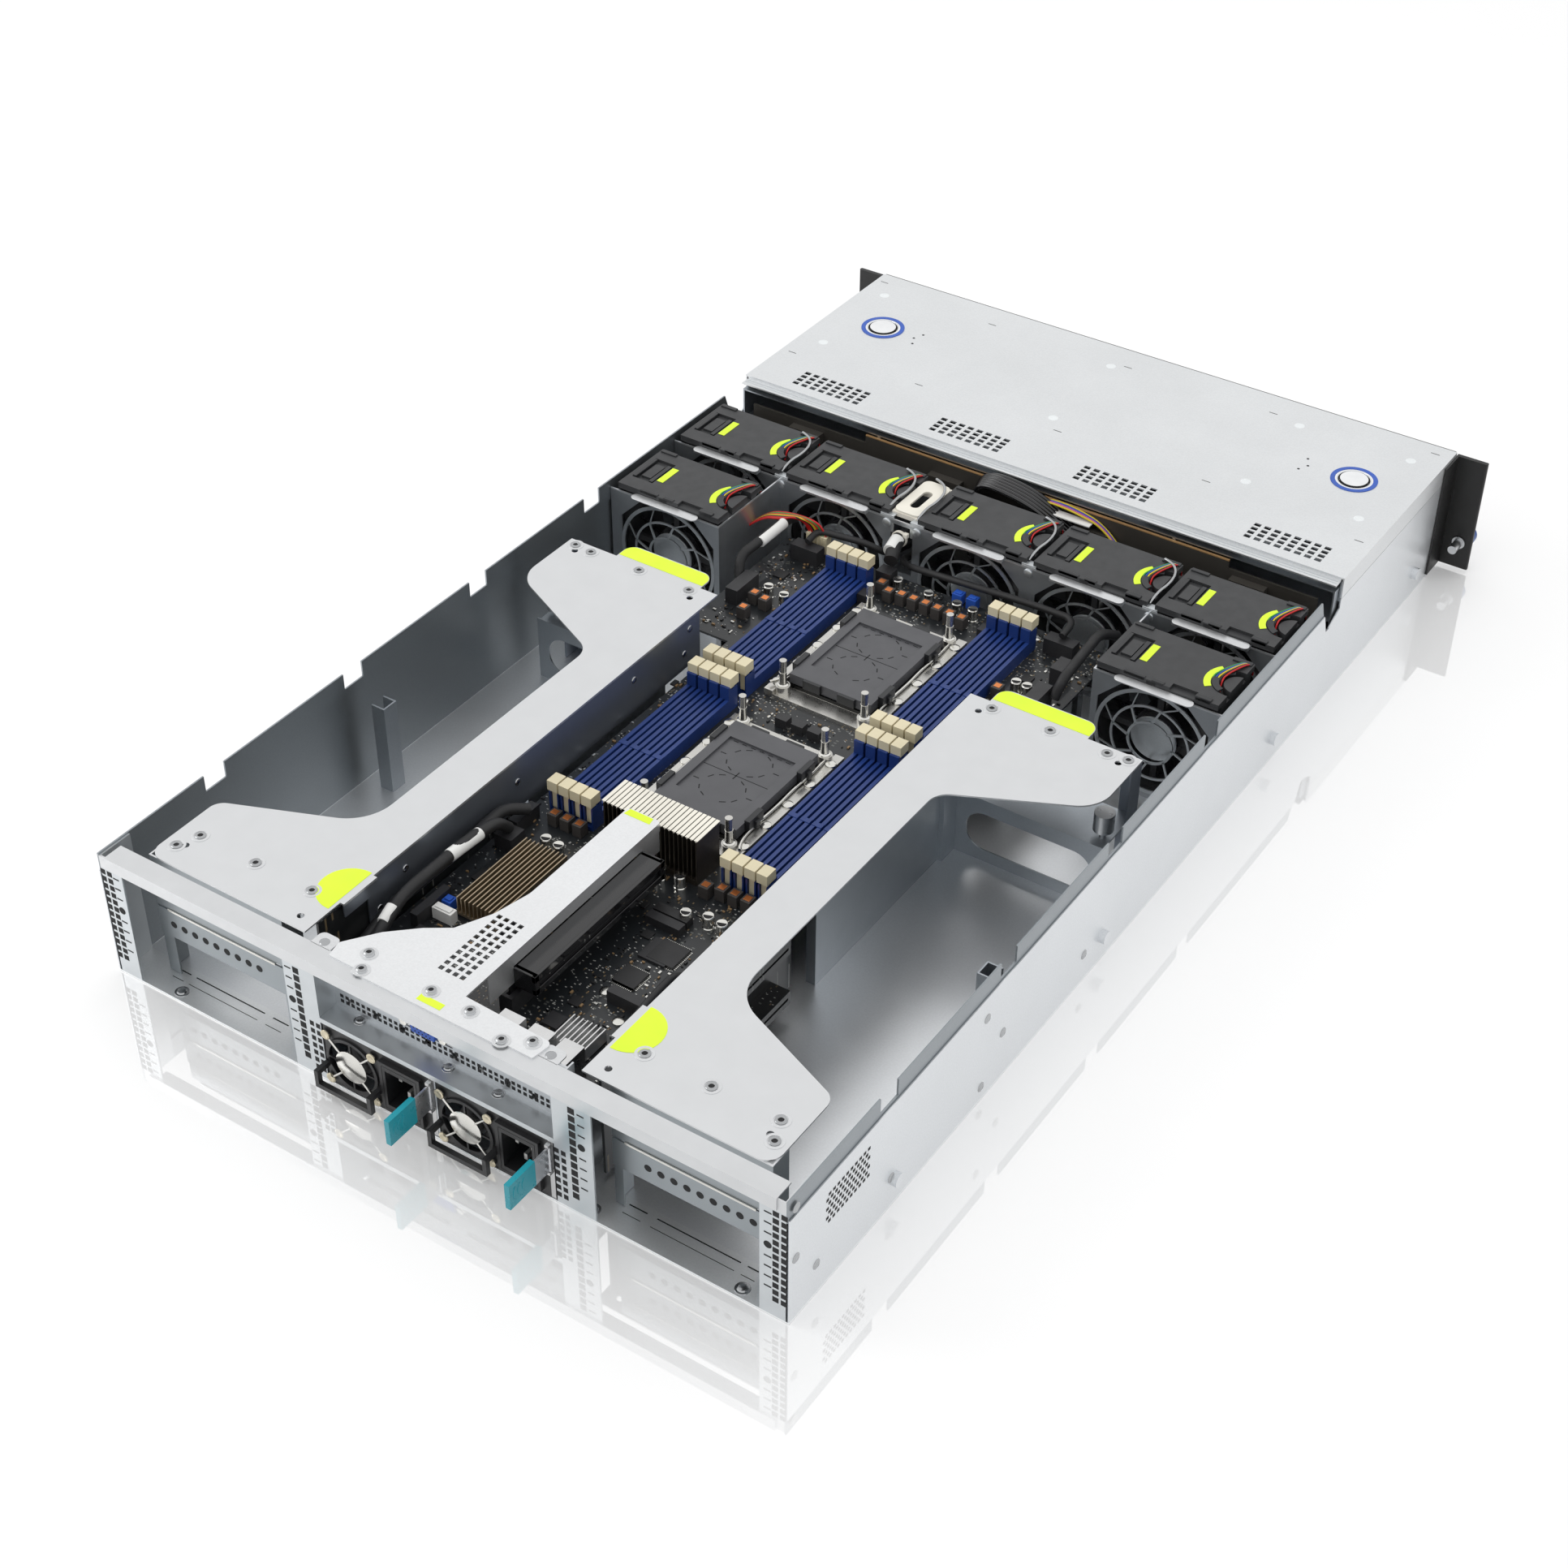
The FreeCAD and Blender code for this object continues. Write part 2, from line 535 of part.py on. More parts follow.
def chassis_tray():
    """Floor and joggled side walls with lid notches and rail studs."""
    front, rear = "-body_front", "body_rear - sheet"
    wall = "body_width / 2"
    strip_low = "wall_top - strip_height"
    side = [
        block("SideLow", (f"{wall} - sheet", wall), (front, rear), ("sheet", strip_low)),
        block("SideStrip", (f"{wall} - 2 * sheet", f"{wall} - sheet"), (front, rear),
              (f"{strip_low} - 2 * sheet", "wall_top")),
    ]
    notches = []
    for index in range(4):
        start = f"notch_first + {index} * notch_pitch"
        notches.append(block(f"LidNotch{index}", (f"{wall} - 3 * sheet", wall),
                             (start, f"{start} + notch_length"), ("wall_top - notch_depth", "body_height")))
    relief = new_body("CoverRelief")
    sketch = outline(relief, "CoverReliefOutline", "YZ_Plane", [
        ("-cover_rear", "wall_top + sheet"), ("-cover_rear", "wall_top - 19"),
        ("-cover_rear + 13", "wall_top - 26"), ("-cover_rear + 18", "wall_top - 26"),
        ("-cover_rear + 28", "wall_top + sheet"),
    ], "body_width / 2 - 3 * sheet")
    pad(relief, "CoverReliefPad", sketch, "4 * sheet")
    walls = cut("SideCut", fuse("SideWall", side), notches + [relief])
    studs = []
    for index in range(4):
        studs.append(rod(f"RailStud{index}", "stud_radius", "stud_length", wall,
                         f"stud_first + {index} * stud_pitch", "stud_height", "X"))
    left = fuse("LeftSide", [walls] + studs)
    right = mirrored("RightSide", left)
    floor = block("Floor", (f"-{wall}", wall), (front, rear), ("0", "sheet"))
    node("chassis_tray", fuse("ChassisTray", [floor, left, right]))


def bay_wall():
    """Two steps of the left bay's inner wall, with a flange at the rear."""
    inner = "cage_middle + bay_wall"
    return [
        block("BayWallRear", (inner, f"{inner} + sheet"), ("cage_front + 50", "bay_wall_rear"),
              ("sheet", "bay_wall_top")),
        block("BayWallFront", (f"{inner} + 3", f"{inner} + 3 + sheet"), ("duct_rear", "cage_front + 51"),
              ("sheet", "bay_wall_top")),
        block("BayWallJoin", (inner, f"{inner} + 3 + sheet"), ("cage_front + 50", "cage_front + 51"),
              ("sheet", "bay_wall_top")),
        block("BayWallFlange", (f"{inner} - 5", inner), ("bay_wall_rear - sheet", "bay_wall_rear"),
              ("sheet", "bay_wall_top")),
    ]


def bay_post():
    """Channel that stands in the left bay and opens towards the side wall."""
    inner = "cage_middle + post_place"
    front = "post_rear - post_depth"
    height = ("sheet", "post_height")
    return [
        block("PostWeb", (inner, f"{inner} + sheet"), (front, "post_rear"), height),
        block("PostFront", (inner, f"{inner} + post_width"), (front, f"{front} + sheet"), height),
        block("PostRear", (inner, f"{inner} + post_width"), ("post_rear - sheet", "post_rear"), height),
    ]


def duct_frame():
    """Upright plate with a long round-ended window and a shelf, between a rear fan and its bay."""
    body = new_body("DuctPlate")
    low, high = "cage_middle + bay_wall + 3", "cage_middle + cage_outer + 1"
    sketch = outline(body, "DuctOutline", "XZ_Plane", [
        (low, "sheet"), (high, "sheet"), (high, "duct_top"), (low, "duct_top"),
    ], "-duct_rear")
    pad(body, "DuctPad", sketch, "sheet")
    window = outline(body, "DuctWindow", "XZ_Plane", [
        (f"{low} + 8", "duct_top * 0.2"), (f"{high} - 8", "duct_top * 0.2"),
        (f"{high} - 8", "duct_top * 0.78"), (f"{low} + 8", "duct_top * 0.78"),
    ], "-duct_rear")
    opening = pocket(body, "DuctOpening", window)
    round_corners(body, "DuctRounding", opening, window, "duct_top * 0.27", range(4))
    shelf = block("DuctShelf", (low, "cage_middle + cage_outer - sheet - seat_gap"),
                  ("cage_front + sheet", "duct_rear"), ("duct_top - sheet", "duct_top"))
    return [body, shelf]


def bay_frames():
    """Inner frame and channel post of both expansion bays, riveted to the floor."""
    left = [fuse("LeftFrame", bay_wall() + duct_frame()), fuse("LeftPost", bay_post())]
    right = [mirrored("RightFrame", left[0], "cage_middle"), mirrored("RightPost", left[1], "cage_middle")]
    node("bay_frames", group("BayFrames", left + right))


def standoffs():
    """Hexagonal posts that carry the front part of the mainboard."""
    posts = []
    places = [(x, y) for x in (-0.88, 0.88) for y in (-0.9, -0.15)]
    places += [(-0.3, -0.5), (0.3, -0.5), (-0.6, 1.3), (0.6, 1.3)]
    for index, (across, along) in enumerate(places):
        post = doc.addObject("Part::Prism", f"Standoff{index}")
        post.Polygon = 6
        bind(post, "Circumradius", "standoff_radius")
        bind(post, "Height", "board_underside - sheet")
        posts.append(place(post, f"{across} * board_wide", f"{along} * board_front", "sheet"))
    node("board_standoffs", group("Standoffs", posts))


def front_top_panel():
    """Front cover: plate with four vent grids and two button holes, skirts and a stepped rear lip."""
    body = new_body("CoverPlate")
    half = "body_width / 2"
    under = "body_height - sheet"
    sketch = outline(body, "CoverOutline", "XY_Plane", [
        (f"-{half}", "-body_front"), (half, "-body_front"), (half, "-cover_rear"), (f"-{half}", "-cover_rear"),
    ], under)
    pad(body, "CoverPad", sketch, "sheet")
    for index in (1, 2, 3, 4):
        left = f"grid_place_{index} - ((grid_columns - 1) * grid_pitch_x + grid_hole_width) / 2"
        low = "grid_middle - ((grid_rows - 1) * grid_pitch_y + grid_hole_depth) / 2"
        hole = outline(body, f"VentHole{index}", "XY_Plane", [
            (left, low), (f"{left} + grid_hole_width", low),
            (f"{left} + grid_hole_width", f"{low} + grid_hole_depth"), (left, f"{low} + grid_hole_depth"),
        ], "body_height")
        first = pocket(body, f"Vent{index}", hole)
        pattern(body, f"VentGrid{index}", first, hole, "grid_columns", "grid_pitch_x", "grid_rows",
                "grid_pitch_y")
    skirts = []
    for name, low, high in (("Left", f"{half} - sheet", half), ("Right", f"-{half}", f"-{half} + sheet")):
        skirts.append(block(f"CoverSkirt{name}", (low, high), ("-body_front", "-cover_rear"),
                            ("wall_top - strip_height + seat_gap", under)))
    lip = "wall_top - cover_step + 3 - sheet"
    pieces = [body] + skirts + [
        block("CoverFrontFold", (f"2 * sheet + seat_gap - {half}", f"{half} - 2 * sheet - seat_gap"),
              ("-body_front", "-body_front + sheet"), ("cage_top + 2 * sheet", under)),
        block("CoverRearFold", (f"-{half} + 2", f"{half} - 2"), ("-cover_rear - sheet", "-cover_rear"),
              (lip, under)),
        block("CoverLip", (f"-{half} + 2", f"{half} - 2"), ("-cover_rear - sheet", "-cover_rear + cover_lip"),
              (lip, f"{lip} + sheet")),
    ]
    holes = [rod(f"ButtonHole{side}", "button_hole", "4 * sheet", f"{side}(body_width / 2 - button_side)",
                 "button_front", "body_height - 3 * sheet") for side in ("", "-")]
    node("front_top_panel", cut("FrontCover", fuse("CoverBlank", pieces), holes))


def latch_buttons():
    """Round buttons whose flange bears on the cover from below."""
    for label, side in (("latch_button_left", ""), ("latch_button_right", "-")):
        under = "-button_proud - sheet - seat_gap"
        profile = [
            ("0", "0"), ("button_radius", "0"), ("button_radius", under), ("button_flange", under),
            ("button_flange", f"{under} - 1.5"), ("0", f"{under} - 1.5"),
        ]
        node(label, turned("Button" + label[13:].title(), profile, f"{side}(body_width / 2 - button_side)",
                           "button_front", "body_height + button_proud"))


def drive_bay(column):
    """Low and high formulas of one drive bay across the chassis."""
    bay = "(body_width / 2 - 2 * sheet - seat_gap) / 2"
    return f"({column} - 2) * {bay}", f"({column} - 1) * {bay}"


def drive_cage():
    """Riveted cage with double dividers, two shelves, a roof and a slotted air inlet above the trays."""
    half = "(body_width / 2 - 2 * sheet - seat_gap)"
    along = ("3 - body_front", "-cage_rear")
    pieces = []
    for column in range(int(size("cage_columns"))):
        low, high = drive_bay(column)
        pieces.append(block(f"BayLeftWall{column}", (low, f"{low} + sheet"), along, ("sheet", "cage_top")))
        pieces.append(block(f"BayRightWall{column}", (f"{high} - sheet", high), along, ("sheet", "cage_top")))
    for row in (1, 2):
        level = f"{row} * row_pitch"
        pieces.append(block(f"DriveShelf{row}", (f"-{half}", half), along, (level, f"{level} + sheet")))
    pieces.append(block("CageRoof", (f"-{half}", half), along, ("cage_top", "cage_top + sheet")))
    inlet = new_body("InletPlate")
    level = "body_front - 3"
    plate = outline(inlet, "InletOutline", "XZ_Plane", [
        (f"-{half}", "2 * row_pitch"), (half, "2 * row_pitch"), (half, "cage_top"), (f"-{half}", "cage_top"),
    ], level)
    pad(inlet, "InletPad", plate, "sheet")
    inlet.Tip.Reversed = True
    slot = outline(inlet, "InletSlot", "XZ_Plane", [
        (f"8 - {half}", "2 * row_pitch + 4"), (f"18 - {half}", "2 * row_pitch + 4"),
        (f"18 - {half}", "cage_top - 4"), (f"8 - {half}", "cage_top - 4"),
    ], level)
    first = pocket(inlet, "InletSlotCut", slot)
    pattern(inlet, "InletSlots", first, slot, "30", "14", "1", "0")
    node("drive_cage", fuse("DriveCage", pieces + [inlet]))


def drive_trays():
    """Bezel with a finger recess, two rails and a floor, for each of the drive bays."""
    for row in range(2):
        for column in range(int(size("cage_columns"))):
            name = f"Tray{row}{column}"
            low, high = drive_bay(column)
            low, high = f"{low} + sheet + tray_gap", f"{high} - sheet - tray_gap"
            base = f"sheet + seat_gap + {row} * row_pitch"
            back = "tray_length - body_front"
            rail = ("-body_front", back)
            height = (base, f"{base} + tray_rail_height")
            tray = fuse(name + "Frame", [
                block(name + "Bezel", (low, high), ("-body_front", "tray_bezel - body_front"),
                      (base, f"{base} + tray_height")),
                block(name + "RailA", (low, f"{low} + tray_rail"), rail, height),
                block(name + "RailB", (f"{high} - tray_rail", high), rail, height),
                block(name + "Floor", (low, high), rail, (base, f"{base} + sheet")),
            ])
            recess = block(name + "Recess", (f"{high} - 30", f"{high} - 8"), ("-body_front", "3 - body_front"),
                           (f"{base} + 6", f"{base} + tray_height - 6"))
            node(f"drive_tray_{row * int(size('cage_columns')) + column + 1}", cut(name, tray, [recess]))


def drive_backplane():
    """Upright circuit board with air slots, a drive connector for each tray and cable sockets behind."""
    front = "seat_gap - cage_rear"
    rear = f"{front} + backplane_thickness"
    half = "body_width / 2 - 12"
    board = fuse("BackplaneBoard", [
        block("BackplaneMain", (f"-({half})", half), (front, rear), ("3 * sheet", "backplane_top - 6")),
        block("BackplaneStep", (f"-({half}) + 60", f"{half} - 90"), (front, rear),
              ("backplane_top - 7", "backplane_top")),
    ])
    slots = []
    parts = []
    for column in range(int(size("cage_columns"))):
        low, high = drive_bay(column)
        middle = f"(({low}) + ({high})) / 2"
        for row in range(2):
            base = f"{row} * row_pitch"
            slots.append(centred(f"AirSlot{row}{column}", middle, "80", (f"{front} - sheet", f"{rear} + sheet"),
                                 (f"{base} + 21", f"{base} + 28")))
            parts.append(centred(f"DriveSocket{row}{column}", middle, "42", (f"{front} - 6", front),
                                 (f"{base} + 9", f"{base} + 15")))
        parts.append(centred(f"CableSocket{column}", middle, "24", (rear, f"{rear} + 6"),
                             ("2 * row_pitch + 4", "2 * row_pitch + 11")))
    node("drive_backplane", fuse("Backplane", [cut("BackplaneSlotted", board, slots)] + parts))


def rack_ears():
    """Pair of angle brackets with a slot for a captive screw."""
    ear = new_body("EarAngle")
    face = "body_width / 2"
    sketch = outline(ear, "EarOutline", "XY_Plane", [
        (face, "-body_front - ear_thickness"), (f"{face} + ear_width", "-body_front - ear_thickness"),
        (f"{face} + ear_width", "-body_front"), (f"{face} + ear_thickness / 2", "-body_front"),
        (f"{face} + ear_thickness / 2", "ear_flange - body_front"), (face, "ear_flange - body_front"),
    ], "ear_low")
    solid = pad(ear, "EarPad", sketch, "ear_high - ear_low")
    round_corners(ear, "EarRounding", solid, sketch, "ear_round", (1, 2))
    hole = rod("EarHole", "rack_screw_radius + 2 * seat_gap", "3 * ear_thickness", f"{face} + ear_hole_side",
               "-body_front - 2 * ear_thickness", "rack_hole_height", "Y")
    left = cut("LeftEar", ear, [hole])
    node("rack_ears", group("RackEars", [left, mirrored("RightEar", left)]))


def thumbscrews():
    """Captive rack screws in the ears and knurled screws on the duct shelves."""
    ring = "knob_length + seat_gap + ear_thickness + seat_gap"
    end = f"{ring} + rack_ring_thickness"
    profile = [
        ("0", "0"), ("knob_radius", "0"), ("knob_radius", "knob_length"), ("rack_screw_neck", "knob_length"),
        ("rack_screw_neck", ring), ("rack_ring_radius", ring), ("rack_ring_radius", end),
        ("rack_screw_radius", end), ("rack_screw_radius", f"{end} + rack_screw_length"),
        ("0", f"{end} + rack_screw_length"),
    ]
    start = "-body_front - ear_thickness - seat_gap - knob_length"
    screws = [turned(f"RackScrew{label}", profile, f"{side}(body_width / 2 + ear_hole_side)", start,
                     "rack_hole_height", "Y") for label, side in (("Left", ""), ("Right", "-"))]
    head = "duct_screw_shank + duct_head_height"
    small = [
        ("0", "0"), ("duct_screw_radius", "0"), ("duct_screw_radius", "duct_screw_shank"),
        ("duct_head_radius", "duct_screw_shank"), ("duct_head_radius", head), ("0", head),
    ]
    for label, side in (("Left", ""), ("Right", "-")):
        screws.append(turned(f"DuctScrew{label}", small, f"cage_middle + {side}(cage_outer - duct_screw_side)",
                             "duct_rear - duct_screw_back", "duct_top"))
    node("thumbscrews", group("Thumbscrews", screws))


def fan_opening(body, name, middle, level):
    """Square air opening with cut corners through an upright sheet."""
    reach = "(fan_bore - 0.5)"
    high, low = f"fan_axis + {reach}", f"fan_axis - {reach}"
    left, right = f"{middle} - {reach}", f"{middle} + {reach}"
    sketch = outline(body, name + "Outline", "XZ_Plane", [
        (f"{left} + opening_cut", low), (f"{right} - opening_cut", low), (right, f"{low} + opening_cut"),
        (right, f"{high} - opening_cut"), (f"{right} - opening_cut", high), (f"{left} + opening_cut", high),
        (left, f"{high} - opening_cut"), (left, f"{low} + opening_cut"),
    ], level)
    return pocket(body, name, sketch)


def fan_wall(name, low, high, level, middles):
    """Upright sheet with an air opening behind each fan."""
    body = new_body(name)
    sketch = outline(body, name + "Outline", "XZ_Plane", [
        (low, "sheet"), (high, "sheet"), (high, "partition_top"), (low, "partition_top"),
    ], level)
    pad(body, name + "Pad", sketch, "sheet")
    for index, middle in enumerate(middles):
        fan_opening(body, f"{name}Opening{index}", middle, level)
    return body


def fan_middle(index):
    """Middle of one of the five front fans across the chassis."""
    return {1: "(body_width / 2 - fan_side_left)", 5: "(fan_side_right - body_width / 2)"}.get(
        index, f"fan_place_{index}")


def fan_partition():
    """Walls behind both fan rows, dividers between the fans, clip strips and a lift handle."""
    half = "(body_width / 2 - 2 * sheet - seat_gap)"
    seat = "fan_row + fan_lid_depth / 2 + seat_gap"
    middles = [fan_middle(index) for index in range(1, 6)]
    wall = fan_wall("PartitionWall", f"-{half}", half, f"-({seat}) - sheet", middles)
    height = ("sheet", "partition_top")
    along = ("fan_row - fan_lid_depth / 2", f"{seat} + sheet / 2")
    side = "(fan_width / 2 + divider_gap)"
    places = [
        f"{fan_middle(1)} - {side} - 2 * sheet", f"fan_place_2 - {side} - sheet", f"fan_place_3 + {side}",
        f"fan_place_4 + {side} + sheet", f"{fan_middle(5)} + {side} + sheet",
    ]
    gate = block("CableGate", (f"fan_place_3 + {side} + 2 * sheet", f"fan_place_2 - {side} - 2 * sheet"),
                 (f"{seat} - sheet", f"{seat} + 2 * sheet"), ("gate_low", "gate_high"))
    pieces = [cut("PartitionGate", wall, [gate])]
    for index, low in enumerate(places):
        pieces.append(block(f"FanDivider{index}", (low, f"{low} + sheet"), along, height))
    for index, middle in enumerate(middles, 1):
        pieces.append(centred(f"ClipStrip{index}", middle, "clip_width", (seat, f"{seat} + clip_depth"),
                              ("partition_top - sheet", "partition_top + sheet")))
    back = "fan_row_rear + fan_lid_depth / 2 + seat_gap"
    inner = "body_width / 2 - fan_side_rear - fan_width / 2 - seat_gap"
    rear = [
        fan_wall("RearFanWall", f"{inner} - sheet", half, f"-({back}) - sheet",
                 ["(body_width / 2 - fan_side_rear)"]),
        block("RearFanSide", (f"{inner} - sheet", inner), (f"{seat} + sheet / 2", f"{back} + sheet"), height),
    ]
    left = fuse("RearFanFrame", rear)
    frame = fuse("FanFrame", pieces + [left, mirrored("RightRearFanFrame", left)])
    node("fan_partition", group("FanPartition", [frame, lift_handle(side)]))


def lift_handle(side):
    """Flat loop that lies on the dividers between the second and third fans."""
    low, high = f"fan_place_3 + {side}", f"fan_place_2 - {side}"
    start, end = "fan_row - handle_length / 2", "fan_row + handle_length / 2"
    top = "partition_top + handle_height"
    blank = block("HandleBlank", (low, high), (start, end), ("partition_top", top))
    slot = block("HandleSlot", (f"{low} + handle_band", f"{high} - handle_band"),
                 (f"{start} + 3 * handle_band", f"{end} - 2 * handle_band"),
                 ("partition_top - sheet", f"{top} + sheet"))
    return cut("LiftHandle", blank, [slot])


def fan_housing():
    """Moulded fan body with a round passage, a bearing on crossed arms and a lid with a latch recess."""
    half, depth = "fan_width / 2", "fan_depth / 2"
    shell = cut("FanShell",
                block("FanBlock", (f"-{half}", half), (f"-{depth}", depth), ("fan_low", "fan_high")),
                [rod("FanPassage", "fan_bore", "fan_depth + 2", "0", f"-{depth} - 1", "fan_axis", "Y")])
    arm = ("fan_arm_front", "fan_arm_front + 3")
    lid_y = ("-fan_lid_depth / 2", "fan_lid_depth / 2")
    lid = block("FanLid", (f"-{half}", half), lid_y, ("fan_high", "fan_high + fan_lid"))
    solid = fuse("FanSolid", [
        shell,
        block("ArmAcross", (f"1 - {half}", f"{half} - 1"), arm, ("fan_axis - 2", "fan_axis + 2")),
        block("ArmUpright", ("-2", "2"), arm, ("fan_low + 1", "fan_high - 1")),
        rod("BearingDisc", "fan_hub - 2", "4", "0", "fan_arm_front", "fan_axis", "Y"),
        lid,
    ])
    deep = "fan_high + fan_lid / 2"
    above = "fan_high + fan_lid + 1"
    crescent = cut("WireHole", rod("WireOuter", "13", "fan_lid + 2", f"2 - {half}", "0", "fan_high - 1"),
                   [rod("WireInner", "8.5", "fan_lid + 4", f"-1 - {half}", "0", "fan_high - 2")])
    tools = [
        rod("BearingHole", "fan_shaft + running_gap", "8", "0", "fan_arm_front - 1", "fan_axis", "Y"),
        block("LatchRecess", ("fan_hub + 4", f"{half} - 3"), ("-13", "13"), (deep, above)),
        block("ClipRecessA", ("-24", "-8"), ("fan_lid_depth / 2 - 5", "fan_lid_depth / 2 + 1"), (deep, above)),
        crescent,
    ]
    return fuse("FanHousing", [
        cut("FanHollow", solid, tools),
        block("LatchTab", (f"{half} - 14", f"{half} - 7"), ("-8", "8"), (deep, "fan_high + fan_lid - 0.5")),
    ])


def rotor(hub, reach, chord, thickness, count, low, high, shaft, start, end):
    """Hub with a shaft and pitched flat blades round it, turning about Y."""
    along = Vector(0, 1, 0)
    solid = Part.makeCylinder(hub, high - low, Vector(0, low, 0), along)
    solid = solid.fuse(Part.makeCylinder(shaft, end - start, Vector(0, start, 0), along))
    for index in range(count):
        blade = Part.makeBox(reach - hub * 0.6, chord, thickness, Vector(hub * 0.6, -chord / 2, -thickness / 2))
        blade.rotate(Vector(), Vector(1, 0, 0), 90 - size("blade_angle"))
        blade.rotate(Vector(), along, 360 * index / count)
        solid = solid.fuse(blade)
    return solid.removeSplitter()


def copy_of(label, source, x, y, z="0"):
    """Node that repeats a finished shape at its own place."""
    return node(label, shaped(label.title().replace("_", ""), source.Shape.copy(), x, y, z))


def fans():
    """Five fans in the front row and two behind, each with its rotor."""
    housing = fan_housing()
    doc.recompute()
    turning = rotor(size("fan_hub"), size("blade_reach"), size("blade_chord"), size("blade_thickness"),
                    int(size("blade_count")), -12, size("fan_arm_front") - size("seat_gap"), size("fan_shaft"),
                    0, size("fan_arm_front") + 4)
    rear = "body_width / 2 - fan_side_rear"
    places = [(fan_middle(index), "fan_row") for index in range(1, 6)]
    places += [(rear, "fan_row_rear"), (f"-({rear})", "fan_row_rear")]
    for index, (x, y) in enumerate(places, 1):
        copy_of(f"fan_module_{index}", housing, x, y)
        node(f"fan_rotor_{index}", shaped(f"FanRotor{index}", turning.copy(), x, y, "fan_axis"))


def motherboard():
    """Mainboard, wide in front and narrow between the cages."""
    body = new_body("Mainboard")
    wide, side, middle = "board_wide", "board_side", "cage_middle"
    sketch = outline(body, "BoardOutline", "XY_Plane", [
        (f"{middle} - {wide}", "-board_front"), (f"{middle} + {wide}", "-board_front"),
        (f"{middle} + {wide}", "board_wide_rear"), (f"{middle} + {side}", "board_wide_rear"),
        (f"{middle} + {side}", "board_rear"), (f"{middle} - {side}", "board_rear"),
        (f"{middle} - {side}", "board_wide_rear"), (f"{middle} - {wide}", "board_wide_rear"),
    ], "board_underside")
    solid = pad(body, "BoardPad", sketch, "board_thickness")
    round_corners(body, "BoardRounding", solid, sketch, "3", (0, 1, 4, 5))
    node("motherboard", body)


def slot_places(bank):
    """Middle of each of the four slots of a memory bank across the chassis."""
    return [f"{bank} + ({index} - 1.5) * slot_pitch" for index in range(4)]


def memory_slots():
    """Grooved sockets with a latch seat between cheeks at both ends."""
    half = "slot_width / 2"
    long = "slot_length / 2"
    body = cut("SlotBar", block("SlotBlank", (f"-{half}", half), (f"-{long}", long), ("0", "slot_height")),
               [block("SlotGroove", ("-slot_groove / 2", "slot_groove / 2"), (f"2 - {long}", f"{long} - 2"),
                      ("3", "slot_height + 1"))])
    pieces = [body]
    for name, low, high in (("Front", f"-{long} - slot_end", f"-{long}"), ("Rear", long, f"{long} + slot_end")):
        pieces.append(block(f"Seat{name}", (f"-{half}", half), (low, high), ("0", "latch_pivot - 2.7")))
        for side in (-1, 1):
            middle = f"{side} * (slot_width - cheek_width) / 2"
            pieces.append(centred(f"Cheek{name}{side + 1}", middle, "cheek_width", (low, high),
                                  ("0", "cheek_height")))
    slot = fuse("MemorySlot", pieces)
    doc.recompute()
    copies = []
    for bank in ("bank_left", "bank_right"):
        for row in ("bank_front", "bank_rear"):
            for x in slot_places(bank):
                copies.append(shaped(f"MemorySlot{len(copies)}", slot.Shape.copy(), x, row,
                                     "board_underside + board_thickness"))
    node("dimm_slots", group("MemorySlots", copies))


def memory_latches():
    """Four rows of eight latches, each a cap on a stem between its cheeks."""
    stem = "slot_width / 2 - cheek_width - seat_gap"
    latch = fuse("Latch", [
        rod("LatchFoot", "latch_stem / 2", f"2 * ({stem})", f"-({stem})", "0", "latch_pivot", "X"),
        block("LatchStem", (f"-({stem})", stem), ("-latch_stem / 2", "latch_stem / 2"),
              ("latch_pivot", "latch_top - latch_cap")),
        block("LatchCap", ("-latch_cap_width / 2", "latch_cap_width / 2"),
              ("-latch_cap_depth / 2", "latch_cap_depth / 2"), ("latch_top - latch_cap", "latch_top")),
    ])
    doc.recompute()
    reach = "(slot_length / 2 + 3.2)"
    rows = (f"bank_front - {reach}", f"bank_front + {reach}", f"bank_rear - {reach}", f"bank_rear + {reach}")
    for index, y in enumerate(rows, 1):
        copies = [shaped(f"Latch{index}{bank[5]}{place_x[-16]}", latch.Shape.copy(), place_x, y,
                         "board_underside + board_thickness")
                  for bank in ("bank_left", "bank_right") for place_x in slot_places(bank)]
        node(f"dimm_latches_{index}", group(f"LatchRow{index}", copies))


